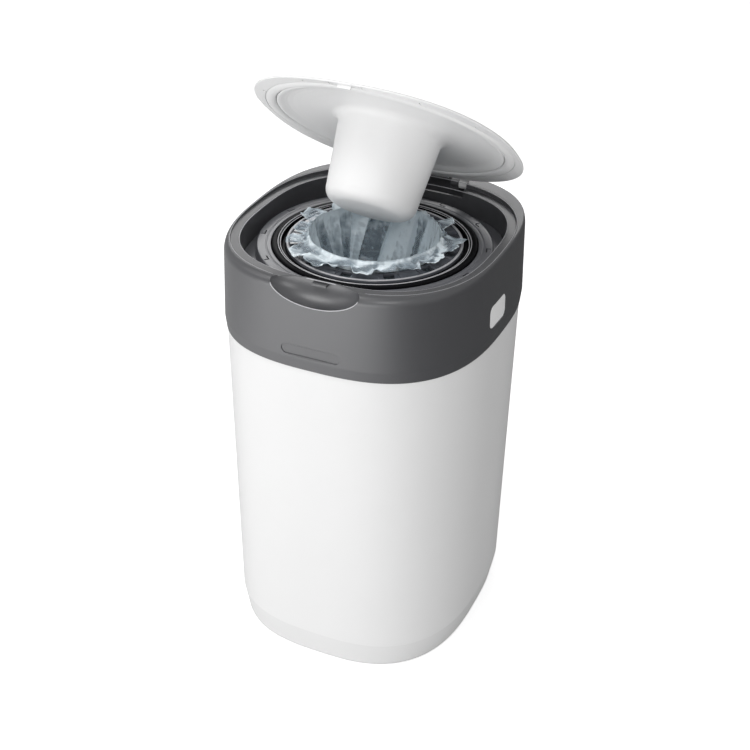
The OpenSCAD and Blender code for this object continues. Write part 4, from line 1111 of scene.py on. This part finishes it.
def pleatHeight(angle, deep):  # how far it stands off its innermost surface, and its layers
    height, cloud = np.zeros_like(angle), np.zeros_like(angle)
    order = sorted((start + lean * deep, depth, milk) for start, lean, depth, milk in pleats)
    for k, (start, depth, milk) in enumerate(order):
        after = order[(k + 1) % len(order)][0] + (1 if k == len(order) - 1 else 0)
        t = ((angle / (2 * np.pi) - start) % 1) / (after - start)
        here = t < 1
        t = np.clip(t, 0, 1)
        rise = np.where(t < 0.1, 1 - t / 0.1, (t - 0.1) / 0.9)
        height = np.where(here, rise * (0.45 + 0.55 * depth), height)
        edge = np.exp(-((t - 0.04) / 0.05) ** 2)
        doubled = 0.5 * (t > 0.62) + 0.3 * (t > 0.8)
        layersAndShade = 0.8 * milk ** 1.5 * (1 - 0.5 * t) + 0.8 * edge + doubled * 0.5 * milk
        cloud = np.where(here, np.clip(layersAndShade, 0, 1), cloud)
    return height, cloud


def flapReach(f, a, rng):  # how far the flaps reach past the lip, and how far they lift
    reach, lift = np.full_like(a, 5.0) + 2.0 * periodic(a, rng, 4, 16, 0.4), np.full_like(a, 0.5)
    for middle, half, out, up in flaps:
        side = away(a, middle)
        shape = np.clip(1.7 * (1 - np.abs(side / half)), 0, 1) * (1 + 0.2 * side / half)
        reach = np.maximum(reach, out * shape)
        lift += up * np.exp(-(side / (0.6 * half)) ** 2)
    return np.clip(reach + 1.0 * periodic(a, rng, 14, 48, 0.3), *f["reach"]), lift


def filmRows(f, a, rng, depths, widths):
    # Rows of (radius, height, place), where place is 1 at a flap's tip, 0 at the lip and -1 at the bottom
    reach, lift = flapReach(f, a, rng)
    pucker = periodic(a, rng, 30, 80, 0.1)
    ridge = f["lipZ"] + 0.8 * periodic(a, rng, 3, 9, 0.4) + 0.45 * pucker
    lipR = f["lipR"] + 0.8 * periodic(a, rng, 3, 12, 0.4) + 0.4 * pucker
    rows, marks = [], []
    for k in range(f["flapRows"]):
        patches = np.random.default_rng(f["seed"] + 5)
        t = 1 - k / (f["flapRows"] - 1)
        r = lipR + 1.4 * (1 - (1 - min(t / 0.1, 1)) ** 2) + reach * max(t - 0.03, 0) / 0.97
        sink = (ridge - f["capZ"]) * (1 - min(t / 0.3, 1)) ** 1.7
        rows.append((r, f["capZ"] + 0.3 + sink + lift * t ** 1.6, t))
        roll = math.exp(-((t - 0.02) / 0.09) ** 2)
        patch = 0.5 * periodic(a + 0.5 * t, patches, 3, 18, 0.25)
        marks.append(np.clip(0.36 + 0.6 * roll + 0.3 * (t > 0.93) + 1.5 * patch, 0.0, 1))
    for k in range(1, f["throatRows"]):
        deep = k / (f["throatRows"] - 1)
        z = depths[0] + (depths[-1] - depths[0]) * deep
        base = np.interp(-z, -depths, widths)
        near = min(deep / 0.07, 1)
        height, cloud = pleatHeight(a, deep * 1.6)
        room = 6.6 * math.sin(math.pi * min(deep * 1.1, 1) ** 0.6) * min(1, base / 42)
        r = base + 0.25 + near * room * height + (lipR - 58.2) * (1 - near)
        rows.append((r, z + (ridge - depths[0]) * (1 - min(deep / 0.09, 1)) ** 2, -deep))
        # painted shade: the film clears and darkens further down the throat, and painted light brightens it
        # near the top
        layersAndShade = 1.9 * cloud * (0.35 + 0.65 * near) * (1 - 0.75 * deep)
        marks.append(np.clip(layersAndShade + 0.8 * (1 - near) ** 2 + 0.35 * math.exp(-deep / 0.12), 0, 1))
    return rows, marks


def markLayersAndShade(obj, values):  # how many layers of film lie there, with painted shade and light down the throat, which the finish reads
    obj.data.attributes.new("layersAndShade", "FLOAT", "POINT").data.foreach_set("value", values.astype(np.float32))


def makeFilm(f):
    rng = np.random.default_rng(f["seed"])
    a = np.linspace(0, 2 * np.pi, f["around"], endpoint=False)
    depths, widths = (np.array(v) for v in zip(*throatCurve))
    rows, marks = filmRows(f, a, rng, depths, widths)
    r, z = (np.array([row[k] for row in rows]) for k in (0, 1))
    flat = np.stack([(r * np.cos(a)).ravel(), (r * np.sin(a)).ravel() + axisY, z.ravel()], 1)
    t = np.repeat([row[2] for row in rows], f["around"])
    big, small = foldField(flat, rng, 7, 24), foldField(flat, rng, 8, 9)
    tiny = foldField(flat, rng, 9, 4.2)
    onFlap, down = np.clip(t, 0, 1), np.clip(-t, 0, 1)
    up = np.where(t > 0, (2.2 * big + 1.7 * small + 0.6 * tiny) * np.clip(onFlap * 5, 0.12, 1), 0)
    inThroat = (0.8 * big + 0.6 * small + 0.2 * tiny) * np.clip(1.2 - down, 0.15, 1)
    radius = r.ravel() + np.where(t <= 0, inThroat, 0.3 * small + 0.2 * tiny)
    radius = np.maximum(radius, np.where(t <= 0, np.interp(-flat[:, 2], -depths, widths), f["flapNear"]))
    radius = np.where(t < -0.03, np.minimum(radius, f["throatWide"]), radius)
    height = np.minimum(flat[:, 2] + up, f["highest"])
    angle = np.tile(a, len(rows))
    verts = np.stack([radius * np.cos(angle), radius * np.sin(angle) + axisY, height], 1) * mm
    obj = meshObject("filmSleeve", verts, ringFaces(f["around"], len(rows)), filmClear)
    markLayersAndShade(obj, np.clip(np.array(marks).ravel() + 0.3 * (small - 0.7) + 0.15 * (tiny - 0.7), 0, 1))
    obj.modifiers.new("thickness", "SOLIDIFY").thickness = f["thickness"] * mm
    return applyModifiers(obj)


def triWave(x):
    return 2 * np.abs((x / np.pi) % 2 - 1) - 1


def makeTail(s):  # the gathered film below the gripper, with wrinkles that run down it
    count, last = s["around"], s["rows"] - 1
    a = np.linspace(0, 2 * np.pi, count, endpoint=False)
    verts = []
    for k in range(s["rows"]):
        t = k / last
        swell = s["radius"] + 1.2 * math.sin(2.4 * t) - 1.0 * t
        wrinkle = 0.8 * triWave(11 * a + 1.5 * t) + 0.45 * triWave(17 * a - 2 * t)
        r = swell + wrinkle * min(1, 6 * (1 - t))
        z = np.full(count, s["top"] - s["length"] * t)
        verts.extend(np.stack([r * np.cos(a), r * np.sin(a) + axisY, z], 1) * mm)
    faces = ringFaces(count, s["rows"]) + endFaces(count, s["rows"])
    tail = fixNormals(meshObject("filmTail", verts, faces, filmClear))
    markLayersAndShade(tail, np.full(len(verts), 0.9))
    return tail


film = joinParts("filmSleeve", [makeFilm(filmSize), makeTail(tailSize)])
finish(film, "turntable", ["film_liner", "film_sleeve", "film_bag", "film_tail"], sharpAngle=24)
print("film is made")


# Pieces kept from the construction

keptPieces = {"collar_hinge_pin": pinSteel, "retainer_screws": pinSteel, "cutter_blade": pinSteel,
              "lid_hinge_pins": pinSteel, "retainer_ring": plastics["collarGrey"],
              "gripper_frame": plastics["collarGrey"], "gripper_plate": plastics["collarGrey"],
              "gripper_fingers": plastics["coreDark"], "cutter_body": plastics["cassetteGrey"],
              "cassette_tub": plastics["cassetteGrey"], "cassette_core": plastics["coreDark"],
              "film_pack": filmClear, "lid_latch": plastics["buttonWhite"],
              "dial_bearing": plastics["ringBlack"]}
for nodeName, material in keptPieces.items():
    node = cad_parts[nodeName]
    node.data.materials.clear()
    node.data.materials.append(material)
print("construction pieces are dressed")
